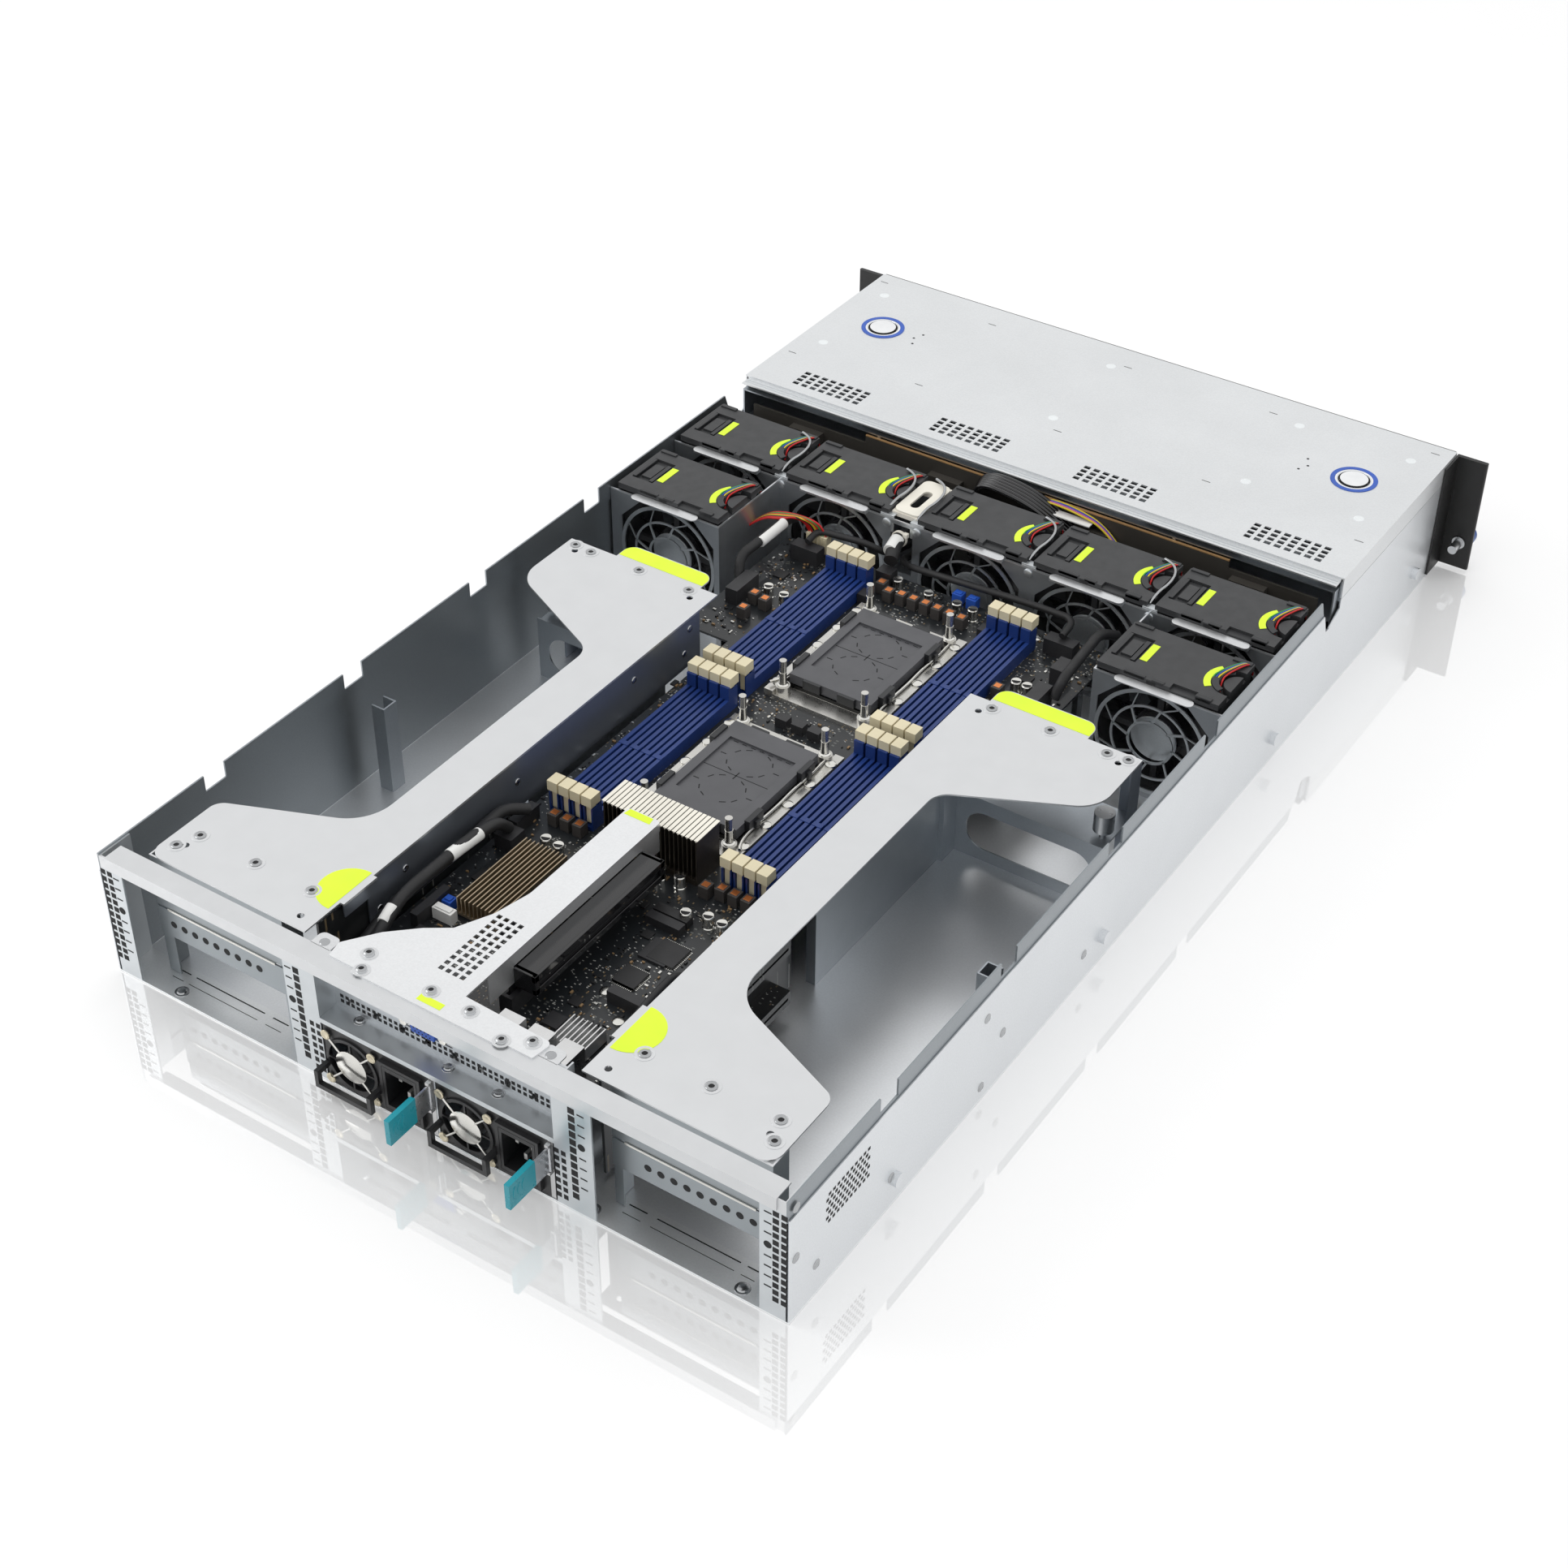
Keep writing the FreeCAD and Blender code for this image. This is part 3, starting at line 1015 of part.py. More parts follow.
def processor_sockets():
    """Two bolster plates with guide studs round a socket frame, and their lift-off covers."""
    solids = []
    board_top = "board_underside + board_thickness"
    for name in ("Front", "Rear"):
        y = f"socket_{name.lower()}"
        plate = (f"{y} - socket_depth / 2", f"{y} + socket_depth / 2")
        top = f"{board_top} + socket_plate"
        pieces = [
            centred(f"Bolster{name}", "socket_middle", "socket_width", plate, (board_top, top)),
            centred(f"SocketFrame{name}", "socket_middle", "cap_width + 2",
                    (f"{y} - cap_depth / 2 - 1", f"{y} + cap_depth / 2 + 1"), (top, f"{top} + socket_frame")),
        ]
        for index, (across, along) in enumerate(((1, 1), (1, -1), (-1, 1), (-1, -1))):
            pieces.append(rod(f"SocketStud{name}{index}", "socket_stud_radius", "socket_stud_top",
                              f"socket_middle + {across} * socket_stud_x", f"{y} + {along} * socket_stud_y",
                              board_top))
            pieces.append(rod(f"StudBase{name}{index}", "2 * socket_stud_radius", "socket_plate + 5",
                              f"socket_middle + {across} * socket_stud_x", f"{y} + {along} * socket_stud_y",
                              board_top))
        for side in (-1, 1):
            middle = f"socket_middle + {side} * (socket_width - bolster_rail) / 2"
            pieces.append(centred(f"BolsterRail{name}{side + 1}", middle, "bolster_rail", plate,
                                  (top, f"{top} + bolster_rail_height")))
        solids.append(fuse(f"Socket{name}", pieces))
        seat = f"{top} + socket_frame + seat_gap"
        lid = (f"{y} - cap_depth / 2", f"{y} + cap_depth / 2")
        cover = cut(f"Cover{name}", centred(f"CoverBlock{name}", "socket_middle", "cap_width", lid,
                                            (seat, f"{seat} + cap_height")),
                    [centred(f"CoverField{name}", "socket_middle", "cap_width - 2 * cap_rim_x",
                             (f"{y} - cap_depth / 2 + cap_rim_y", f"{y} + cap_depth / 2 - cap_rim_y"),
                             (f"{seat} + cap_height - cap_field", f"{seat} + cap_height + 1"))])
        node(f"cpu_cover_{name.lower()}", cover)
    node("cpu_sockets", group("ProcessorSockets", solids))


def finned(name, x, y, width, depth, height, base, count):
    """Heatsink with upright fins along Y over a base plate, from its low corner."""
    foot = "board_underside + board_thickness"
    pieces = [block(name + "Base", (x, f"{x} + {width}"), (y, f"{y} + {depth}"), (foot, f"{foot} + {base}"))]
    total = int(size(count))
    for index in range(total):
        low = f"{x} + {index} * ({width} - fin_thickness) / ({total} - 1)"
        pieces.append(block(f"{name}Fin{index}", (low, f"{low} + fin_thickness"), (y, f"{y} + {depth}"),
                            (f"{foot} + {base}", f"{foot} + {height}")))
    return fuse(name, pieces)


BOARD_BLOCKS = [
    # x, y of the middle, width, depth, height: cable headers, chips and small sockets
    (36, -77, 8, 8, 7), (-43.5, -86, 5, 8, 7), (-3.8, 58, 8, 6, 6.5), (-15, 58, 8, 6, 6.5), (7.4, 58, 8, 6, 6.5),
    (92, -96, 20, 9, 11), (-92, -96, 20, 9, 11), (35.8, -101, 10.5, 9, 11), (104, -40, 9, 24, 11),
    (-106, -40, 9, 24, 11), (-104, -74, 8, 14, 11), (72, 232, 12, 12, 9), (76, 214, 6, 20, 9),
    (-39, 239.5, 22, 6, 5.2), (-49, 258, 17, 17, 1.4), (-47.5, 282, 14, 14, 1.4), (-59, 300, 22, 6, 8),
    (-35, 330, 10, 10, 2), (60, 318, 16, 10, 3), (28, 349, 9, 6, 5), (-76, 276, 6, 30, 9), (71, 300, 5, 28, 9),
]
CAPACITORS = [
    (2.7, -97.4), (-17.3, -98), (-29, -97.5), (26.5, -99.6), (89.3, -48), (76.3, -45.7), (-88.4, -47.4),
    (-95.8, -47.3), (52.7, 224), (43.3, 225), (-13.6, 208.4), (-26.6, 208.7), (-46.3, 230.9), (-58, 226.8),
    (-67.5, 227.8),
]
CHOKES = [
    (16.5, -87.9), (7.8, -87.9), (-0.9, -87.9), (-9.7, -87.5), (-18.6, -87.2), (-27.3, -86.8), (33.6, -92.4),
    (25.2, -86.8), (89.9, -21), (83.9, -36), (92.9, -38), (-81.5, -37.5), (62.4, 203.5), (53.8, 203.5),
    (45.2, 203.5), (-42.3, 206.6), (-50.9, 203.5), (-59.2, 203.5), (-67.5, 203.5),
]


def board_parts():
    """Three heatsinks, the riser's socket, and the larger chokes, headers, chips and capacitors."""
    foot = "board_underside + board_thickness"
    solids = [
        finned("TowerSink", "socket_middle - tower_width / 2 + 0.8", "tower_front", "tower_width",
               "tower_depth", "tower_height", "4", "tower_fins"),
        finned("ChipsetSink", "29.5", "234.5", "hub_sink_width", "hub_sink_depth", "hub_sink_height", "3",
               "hub_sink_fins"),
        finned("SmallSink", "-56 - small_sink_width / 2", "327", "small_sink_width", "small_sink_width",
               "small_sink_height", "2.5", "small_sink_fins"),
        cut("RiserSocket", block("RiserSocketBar", ("riser_card - 3.5", "riser_card + 5.1"), ("222", "338"),
                                 (foot, f"{foot} + 11")),
            [block("RiserSocketGroove", ("riser_card - seat_gap", "riser_card + board_thickness + seat_gap"),
                   ("224", "336"), (f"{foot} + 3", f"{foot} + 12"))]),
    ]
    for index, (x, y, width, depth, height) in enumerate(BOARD_BLOCKS):
        solids.append(centred(f"BoardBlock{index}", x, width, (f"{y} - {depth} / 2", f"{y} + {depth} / 2"),
                              (foot, f"{foot} + {height}")))
    for index, (x, y) in enumerate(CHOKES):
        solids.append(centred(f"Choke{index}", x, "choke_width",
                              (f"{y} - choke_depth / 2", f"{y} + choke_depth / 2"),
                              (foot, f"{foot} + choke_height")))
    for index, (x, y) in enumerate(CAPACITORS):
        solids.append(rod(f"Capacitor{index}", "can_radius", "can_height", x, y, foot))
    node("board_parts", group("BoardParts", solids))


def cage_x(place):
    """Place across the chassis of a point of the left cage."""
    return f"cage_middle + {place}"


def cage_plate():
    """Top plate of the left cage, with a finger tab in front, a narrow neck and rounded corners."""
    body = new_body("CagePlate")
    inner, neck, outer = cage_x("cage_inner"), cage_x("cage_neck"), cage_x("cage_outer")
    tab_front = "cage_front - tab_reach"
    sketch = outline(body, "CageOutline", "XY_Plane", [
        (inner, "cage_front"), (cage_x("tab_inner"), "cage_front"), (cage_x("tab_inner"), tab_front),
        (cage_x("tab_outer"), tab_front), (cage_x("tab_outer"), "cage_front"), (outer, "cage_front"),
        (outer, "cage_shoulder"), (neck, "cage_neck_front"), (neck, "cage_neck_rear"), (outer, "cage_hip"),
        (outer, "cage_back"), (inner, "cage_back"),
    ], "wall_top - sheet")
    item = pad(body, "CagePad", sketch, "sheet")
    rounds = (("tab_round", (2, 3)), ("cage_shoulder_round", (6,)), ("cage_neck_round", (7,)),
              ("cage_waist_round", (8,)), ("cage_hip_round", (9, 10)))
    for radius, corners in rounds:
        item = round_corners(body, f"CageRound{corners[0]}", item, sketch, radius, corners)
    return body


CAGE_HOLES = [
    ("cage_outer - 10", "cage_front + 10"), ("cage_inner + 12", "cage_front + 12"),
    ("cage_outer - 12", "cage_back - 16"), ("cage_inner + 10", "cage_back - 8"),
]


def expansion_cages():
    """Lift-out cages: plate, inner panel, front post, rear flanges and slot covers."""
    under = "wall_top - sheet"
    down = ("sheet + seat_gap", under)
    flange = ("cage_back - sheet / 2 - cage_flange_depth", "cage_back - sheet / 2")
    end = ("cage_back - 3 * sheet / 2", "cage_back - sheet / 2")
    post = ("cage_front", "cage_front + cage_post_depth")
    inner = "cage_inner + cage_flange_inner"
    pieces = [
        cage_plate(),
        block("CagePanel", (cage_x("cage_inner"), cage_x("cage_inner + sheet")),
              ("cage_front + panel_start", "panel_rear"), (f"{under} - cage_skirt", under)),
        block("CagePost", (cage_x("cage_outer - sheet"), cage_x("cage_outer")), post, down),
        block("CagePostFace", (cage_x("cage_outer - cage_post_face"), cage_x("cage_outer")),
              ("cage_front", "cage_front + sheet"), down),
        block("CageInnerFlange", (cage_x(inner), cage_x(f"{inner} + sheet")), flange, down),
        block("CageInnerFace", (cage_x(inner), cage_x(f"{inner} + cage_fold_inner")), end, down),
        block("CageOuterFlange", (cage_x("cage_outer - sheet"), cage_x("cage_outer")), flange, down),
        block("CageOuterFace", (cage_x("cage_outer - cage_fold_outer"), cage_x("cage_outer")), end, down),
        block("CageTopFace", (cage_x(inner), cage_x("cage_outer")), end, (f"{under} - cage_fold_top", under)),
        side_pull(under),
    ]
    cage = fuse("CageSolid", pieces + slot_covers())
    holes = [rod(f"CageScrewHole{index}", "cage_screw_hole", "6 * sheet", cage_x(x), y, "wall_top - 3 * sheet")
             for index, (x, y) in enumerate(CAGE_HOLES)]
    left = cut("LeftCage", cage, holes)
    node("gpu_cage_left", left)
    node("gpu_cage_right", mirrored("RightCage", left, "cage_middle"))


def side_pull(under):
    """Folded finger tab beside the cage's inner panel."""
    blank = block("FingerTabBlank", (cage_x("cage_inner - pull_reach"), cage_x("cage_inner + sheet")),
                  ("pull_front", "pull_rear"), ("wall_top - pull_height", "wall_top"))
    hollow = block("FingerTabHollow",
                   (cage_x("cage_inner - pull_reach + pull_wall"), cage_x("cage_inner + 2 * sheet")),
                   ("pull_front - sheet", "pull_rear + sheet"), ("wall_top - pull_height - sheet", under))
    return cut("FingerTab", blank, [hollow])


def slot_covers():
    """Two covers over the card openings of a cage, folded inwards along their lower edges."""
    pieces = []
    back = "cage_back - sheet / 2"
    for row in range(2):
        low = f"card_slot_low + {row} * card_slot_pitch"
        pieces.append(block(f"SlotCoverFace{row}",
                            (cage_x("cage_inner + cage_flange_inner"), cage_x("cage_outer")),
                            (back, f"{back} + 0.8 * sheet"), (low, f"{low} + card_slot_height")))
        pieces.append(block(f"SlotCoverLedge{row}",
                            (cage_x("cage_inner + cage_flange_inner + cage_fold_inner + sheet"),
                             cage_x("cage_outer - cage_fold_outer - sheet")),
                            (f"{back} - cage_fold_inner", back), (low, f"{low} + 0.8 * sheet")))
    return pieces


def card_socket(name, x, y, z, turn_gap="2"):
    """Long card socket with a groove in its outward face."""
    return cut(name, block(name + "Bar", x, y, z), [
        block(name + "Groove", (f"{x[1]} - 7", f"{x[1]} + 1"), (f"{y[0]} + {turn_gap}", f"{y[1]} - {turn_gap}"),
              (f"(({z[0]}) + ({z[1]})) / 2 - 0.9", f"(({z[0]}) + ({z[1]})) / 2 + 0.9"))])


def riser_cards():
    """Upright circuit board with two card sockets inside each cage."""
    face = "cage_inner + sheet + riser_gap"
    rear = f"{face} + board_thickness"
    pieces = [block("CardBoard", (cage_x(face), cage_x(rear)), ("riser_front", "riser_rear"), ("4", "80"))]
    for name, low in (("Low", "10"), ("High", "46")):
        pieces.append(card_socket(f"CardSocket{name}", (cage_x(rear), cage_x(f"{rear} + 11")),
                                  ("riser_front + 17", "riser_front + 106"), (low, f"{low} + 9")))
    left = fuse("LeftCard", pieces)
    node("riser_card_left", left)
    node("riser_card_right", mirrored("RightCard", left, "cage_middle"))


RISER_OUTLINE = [
    ("arm_left", "arm_front"), ("arm_left", "290"), ("15", "313"), ("25", "333"), ("38", "342"), ("53", "356"),
    ("66", "374"), ("64", "384"), ("47", "384"), ("47", "387"), ("-45", "387"), ("-45", "384.5"),
    ("-66", "384.5"), ("-68", "371"), ("arm_right", "369"), ("arm_right", "arm_front"),
]
RISER_SCREWS = [(47.7, 372), (42.9, 383.3), (4.1, 375.8), (-21, 376.2), (-46.4, 383.5), (-59.7, 376)]


def centre_riser():
    """Lift-out bracket whose arm widens to the rear bar, with the card it carries and the card's socket."""
    body = new_body("RiserPlate")
    top = "riser_plate + sheet"
    sketch = outline(body, "RiserOutline", "XY_Plane", RISER_OUTLINE, "riser_plate")
    item = pad(body, "RiserPad", sketch, "sheet")
    item = round_corners(body, "RiserWaist", item, sketch, "18", (1,))
    item = round_corners(body, "RiserCorner", item, sketch, "3", (0, 6, 13, 15))
    hole = outline(body, "RiserVentOutline", "XY_Plane", [
        ("-4", "312"), ("-1.2", "312"), ("-1.2", "314.8"), ("-4", "314.8"),
    ], "riser_plate")
    first = pocket(body, "RiserVent", hole)
    pattern(body, "RiserVents", first, hole, "4", "4.6", "11", "4.6")
    side = ("arm_right", "arm_right + sheet")
    wall = cut("RiserWall", block("RiserWallBlank", side, ("arm_front + 2", "352"),
                                  ("riser_plate - riser_wall", "riser_plate")),
               [block("RiserWindow", ("arm_right - 1", "arm_right + 2"), ("222", "332"),
                      ("riser_plate - riser_wall - 1", "riser_plate - 7"))])
    lip = block("RiserFrontLip", ("arm_right + 1", "arm_left - 1"), ("arm_front", "arm_front + sheet"),
                ("riser_plate - 6", "riser_plate"))
    screws = []
    for index, (x, y) in enumerate(RISER_SCREWS):
        screws.append(rod(f"RiserScrew{index}", "3", "1.2", f"{x}", f"{y}", top))
    node("riser_bracket", fuse("RiserBracket", [body, wall, lip] + screws))
    board = block("RiserCardBoard", ("riser_card", "riser_card + board_thickness"), ("226", "334"),
                  ("board_underside + 6", "riser_plate - 1"))
    outward = cut("RiserConnector",
                  block("RiserConnectorBar", ("riser_card - 13", "riser_card"), ("223", "331"), ("64", "75.5")),
                  [block("RiserConnectorGroove", ("riser_card - 14", "riser_card - 6"), ("226", "328"),
                         ("68.8", "70.7"))])
    node("riser_slot", fuse("RiserSlot", [board, outward]))


def supply_x(side, place="0"):
    """Place across the chassis of a point of one power supply."""
    return f"bay_middle + {side} * supply_pitch / 2 + {place}"


def power_supplies():
    """Two plug-in supplies: casing, rear face with handle and grille, fan rotor and sprung release lever."""
    low = "sheet + seat_gap"
    half = "supply_width / 2"
    turning = rotor(8.5, 15, 9, 1.2, 5, -5.5, 4.5, 1.5, -18, 0)
    for label, side in (("left", "1"), ("right", "-1")):
        name = "Supply" + label.title()
        axis_x = supply_x(side, "supply_fan_x")
        inlet_x = supply_x(side, "inlet_x")
        casing = block(name + "Blank", (supply_x(side, f"-{half}"), supply_x(side, half)),
                       ("supply_back - supply_length", "supply_back"), (low, f"{low} + supply_height"))
        tools = [
            rod(name + "Cavity", "supply_fan_bore", "17", axis_x, "supply_back - 16", "supply_fan_z", "Y"),
            rod(name + "Bore", "1.5 + running_gap", "13", axis_x, "supply_back - 29", "supply_fan_z", "Y"),
            centred(name + "Pocket", inlet_x, "inlet_width - 4",
                    ("supply_back - inlet_depth", "supply_back + 1"),
                    ("supply_fan_z + 0.4 - inlet_height / 2 + 2", "supply_fan_z + 0.4 + inlet_height / 2 - 2")),
        ]
        node(f"psu_casing_{label}", cut(name + "Casing", casing, tools))
        node(f"psu_face_{label}", supply_face(name, side, axis_x, inlet_x))
        node(f"psu_rotor_{label}", shaped(name + "Rotor", turning.copy(), axis_x, "supply_back - 7",
                                          "supply_fan_z"))
        node(f"psu_latch_{label}", supply_lever(name, side))


def supply_face(name, side, axis_x, inlet_x):
    """Face plate with a mains inlet, a handle, lever lugs and a wire fan guard."""
    low = "sheet + seat_gap"
    back = "supply_back + 2.5"
    half = "supply_width / 2"
    middle = "supply_fan_z + 0.4"
    plate = cut(name + "Plate", fuse(name + "PlateSolid", [
        block(name + "PlateBlank", (supply_x(side, f"-{half}"), supply_x(side, half)), ("supply_back", back),
              (low, f"{low} + supply_height")),
        centred(name + "Frame", inlet_x, "inlet_width", ("supply_back", f"{back} + 2.5"),
                (f"{middle} - inlet_height / 2", f"{middle} + inlet_height / 2")),
    ]), [
        rod(name + "FanHole", "supply_fan_bore", "5", axis_x, "supply_back - 1", "supply_fan_z", "Y"),
        centred(name + "InletHole", inlet_x, "inlet_width - 4", ("supply_back - 1", f"{back} + 3"),
                (f"{middle} - inlet_height / 2 + 2", f"{middle} + inlet_height / 2 - 2")),
    ])
    lug_x = (supply_x(side, "-lever_side - lever_eye"), supply_x(side, "lever_eye - lever_side"))
    lugs = []
    offset = "(lever_height / 2 + seat_gap + lug_thickness / 2)"
    for index, side_z in enumerate((-1, 1)):
        level = f"lever_middle + {side_z} * {offset}"
        lugs.append(block(f"{name}Lug{index}", lug_x, (back, f"{back} + lug_reach"),
                          (f"{level} - lug_thickness / 2", f"{level} + lug_thickness / 2")))
    blades = []
    for index, (x, z) in enumerate(((-5, 4), (5, 4), (0, -5))):
        blades.append(block(f"{name}Pin{index}", (f"{inlet_x} + {x} - 1", f"{inlet_x} + {x} + 1"),
                            ("supply_back - inlet_depth + 1.5", "supply_back - 1"),
                            (f"{middle} + {z} - 2", f"{middle} + {z} + 2")))
    cup = cut(name + "Cup", centred(name + "CupBlank", inlet_x, "inlet_width - 4 - 2 * seat_gap",
                                    ("supply_back - inlet_depth + seat_gap", f"{back} + 2.5"),
                                    (f"{middle} - inlet_height / 2 + 2 + seat_gap",
                                     f"{middle} + inlet_height / 2 - 2 - seat_gap")),
              [centred(name + "CupHollow", inlet_x, "inlet_width - 8",
                       ("supply_back - inlet_depth + 1.6", f"{back} + 3"),
                       (f"{middle} - inlet_height / 2 + 5", f"{middle} + inlet_height / 2 - 5"))])
    solid = fuse(name + "FaceSolid", [plate] + lugs + fan_guard(name, axis_x, back))
    handle = cut(name + "Handle", supply_handle(name, side, back),
                 [rod(name + "HandleNotch", "supply_fan_bore + guard_band + seat_gap",
                      "guard_thickness + seat_gap", axis_x, back, "supply_fan_z", "Y")])
    return group(name + "Face", [solid, handle, fuse(name + "Inlet", [cup] + blades)])


def supply_handle(name, side, back):
    """Squared handle whose two arms stand on the face plate."""
    reach = f"{back} + handle_reach"
    depth = (f"{reach} - handle_wire", reach)
    pieces = []
    for index, x in enumerate(("handle_left", "handle_right")):
        span = (supply_x(side, x), supply_x(side, f"{x} + handle_arm"))
        pieces.append(block(f"{name}Arm{index}", span, depth, ("handle_low", "handle_top")))
        pieces.append(block(f"{name}Stub{index}", span, (back, f"{reach} - sheet"),
                            ("handle_top - handle_wire", "handle_top")))
    pieces.append(block(name + "Grip",
                        (supply_x(side, "handle_left"), supply_x(side, "handle_right + handle_arm")),
                        depth, ("handle_low", "handle_low + handle_wire")))
    return fuse(name + "HandleLoop", pieces)


def fan_guard(name, axis_x, back):
    """Flat wire guard: a hub disc and an outer ring on two crossed wires."""
    depth = (back, f"{back} + guard_thickness")
    return [
        rod(name + "GuardHub", "guard_hub", "guard_thickness", axis_x, back, "supply_fan_z", "Y"),
        cut(name + "GuardRing",
            rod(name + "GuardOuter", "supply_fan_bore + guard_band", "guard_thickness", axis_x, back,
                "supply_fan_z", "Y"),
            [rod(name + "GuardInner", "supply_fan_bore - guard_band", "3 * guard_thickness", axis_x,
                 f"{back} - guard_thickness", "supply_fan_z", "Y")]),
        centred(name + "WireAcross", axis_x, "2 * supply_fan_bore", depth,
                ("supply_fan_z - 0.6 * guard_thickness", "supply_fan_z + 0.6 * guard_thickness")),
        centred(name + "WireUpright", axis_x, "1.2 * guard_thickness", depth,
                ("supply_fan_z - supply_fan_bore", "supply_fan_z + supply_fan_bore")),
    ]


def supply_lever(name, side):
    """Sprung steel arm with a rolled eye and a moulded pad, which releases the supply."""
    tall = ("lever_middle - lever_height / 2", "lever_middle + lever_height / 2")
    face = "supply_back + 2.5"
    pad_start = f"{face} + lever_reach - lever_pad_length"
    pivot = f"{face} + lever_pivot"
    return fuse(name + "Lever", [
        rod(name + "LeverEye", "lever_eye", "lever_height", supply_x(side, "-lever_side"), pivot, tall[0]),
        block(name + "LeverArm",
              (supply_x(side, "-lever_side - sheet / 2"), supply_x(side, "sheet / 2 - lever_side")),
              (pivot, f"{pad_start} + sheet"), tall),
        block(name + "LeverPad", (supply_x(side, "-lever_side - sheet / 2"),
                                  supply_x(side, "lever_pad_width - lever_side - sheet / 2")),
              (pad_start, f"{pad_start} + lever_pad_length"), tall),
    ])


PORTS = [
    # middle and width across, low and high: two data sockets, a display socket and three network sockets
    (56.2, 12, 58, 73), (37.8, 12.7, 58, 73), (6.5, 31, 55.5, 68.5),
    (-31.7, 13, 58, 73), (-50.5, 13, 58, 73), (-68.5, 12, 58, 73),
]
SHELF_POSTS = [(-60, 215), (45, 215), (-60, 360), (60, 360)]


def rear_frame():
    """Rear bar, perforated columns, supply bay with its shelf and divider, and the port plate."""
    back = "body_rear - 2 * sheet"
    reach = "(supply_pitch / 2 + supply_width / 2 + supply_gap)"
    left, right = f"bay_middle + {reach}", f"bay_middle - {reach}"
    under = "wall_top - sheet"
    tall = ("sheet", under)
    thick = (back, f"{back} + sheet")
    bar = ("rear_bar_side - body_width / 2", "body_width / 2 - rear_bar_side")
    side_walls = ("supply_wall_front", back)
    port_walls = ("board_rear + 2 * sheet", back)
    pieces = [
        block("RearBar", bar, ("rear_bar_front", f"{back} + 2 * sheet"), (under, "wall_top")),
        block("RearBarLip", bar, (f"{back} + sheet", f"{back} + 2 * sheet"), ("wall_top - rear_bar_lip", under)),
        block("LeftInnerColumn", (left, "left_column_end"), thick, tall),
        block("RightInnerColumn", ("right_column_end", right), thick, tall),
        block("SupplyWallLeft", (left, f"{left} + sheet"), side_walls, ("sheet", "shelf_top")),
        block("SupplyWallRight", (f"{right} - sheet", right), side_walls, ("sheet", "shelf_top")),
        block("PortWallLeft", (left, f"{left} + sheet"), port_walls, ("shelf_top - sheet", under)),
        block("PortWallRight", (f"{right} - sheet", right), port_walls, ("shelf_top - sheet", under)),
        block("Divider", ("bay_middle - sheet / 2", "bay_middle + sheet / 2"),
              ("divider_front", "body_rear - sheet"), ("sheet", "shelf_top")),
        block("SupplyShelf", (right, left), ("shelf_front", back), ("shelf_top - sheet", "shelf_top")),
        block("ShelfLip", (right, left), thick, ("shelf_top - shelf_lip", "shelf_top")),
    ]
    edge = "body_width / 2 - 2 * sheet"
    columns = (
        ("Left", f"{edge} - outer_column_width", edge, f"{edge} - sheet"),
        ("Right", f"-({edge})", f"outer_column_width - ({edge})", f"-({edge})"),
    )
    for name, low, high, flange in columns:
        pieces.append(block(f"{name}OuterColumn", (low, high), thick, tall))
        pieces.append(block(f"{name}ColumnFlange", (flange, f"{flange} + sheet"),
                            ("column_flange_front", back), tall))
    for index, (x, y) in enumerate(SHELF_POSTS):
        pieces.append(rod(f"ShelfPost{index}", "shelf_post", "board_underside - shelf_top", x, y, "shelf_top"))
    plate = block("PortPlateBlank", (right, left), ("port_face", "port_face + sheet"),
                  ("shelf_top - sheet", under))
    through = ("port_face - sheet", "port_face + 2 * sheet")
    tools = []
    for index, (x, width, low, high) in enumerate(PORTS):
        tools.append(centred(f"PortOpening{index}", x, f"{width} + 2 * seat_gap", through,
                             (f"{low} - seat_gap", f"{high} + seat_gap")))
    vent = ("port_vent_z - port_vent_width / 2", "port_vent_z + port_vent_width / 2")
    for index in range(8):
        tools.append(centred(f"PortVent{index}", f"port_vent_first - {index} * port_vent_pitch",
                             "port_vent_width", through, vent))
    pieces.append(cut("PortPlate", plate, tools))
    pieces.append(block("PlateTie", ("-plate_tie", "plate_tie"), ("port_face", "rear_bar_front + sheet"),
                        (under, "wall_top")))
    node("rear_frame", fuse("RearFrame", pieces))


def rear_ports():
    """Shells of the sockets behind the port plate, each with its opening."""
    shells = []
    foot = "board_underside + board_thickness"
    for index, (x, width, low, high) in enumerate(PORTS):
        start = "port_start_right" if index > 2 else "port_start"
        shell = fuse(f"PortShell{index}", [
            centred(f"PortBody{index}", x, f"{width}", (start, "port_face + sheet / 2"), (f"{low}", f"{high}")),
            centred(f"PortFoot{index}", x, f"{width}", (start, "port_foot_end"), (foot, f"{low} + 1")),
        ])
        inset = "3" if index == 2 else "1"
        hollow = centred(f"PortHollow{index}", x, f"{width} - 2 * {inset}",
                         ("port_face - port_hollow", "port_face + 2 * sheet"),
                         (f"{low} + {inset}", f"{high} - {inset}"))
        shells.append(cut(f"Port{index}", shell, [hollow]))
    node("rear_io_ports", group("RearPorts", shells))


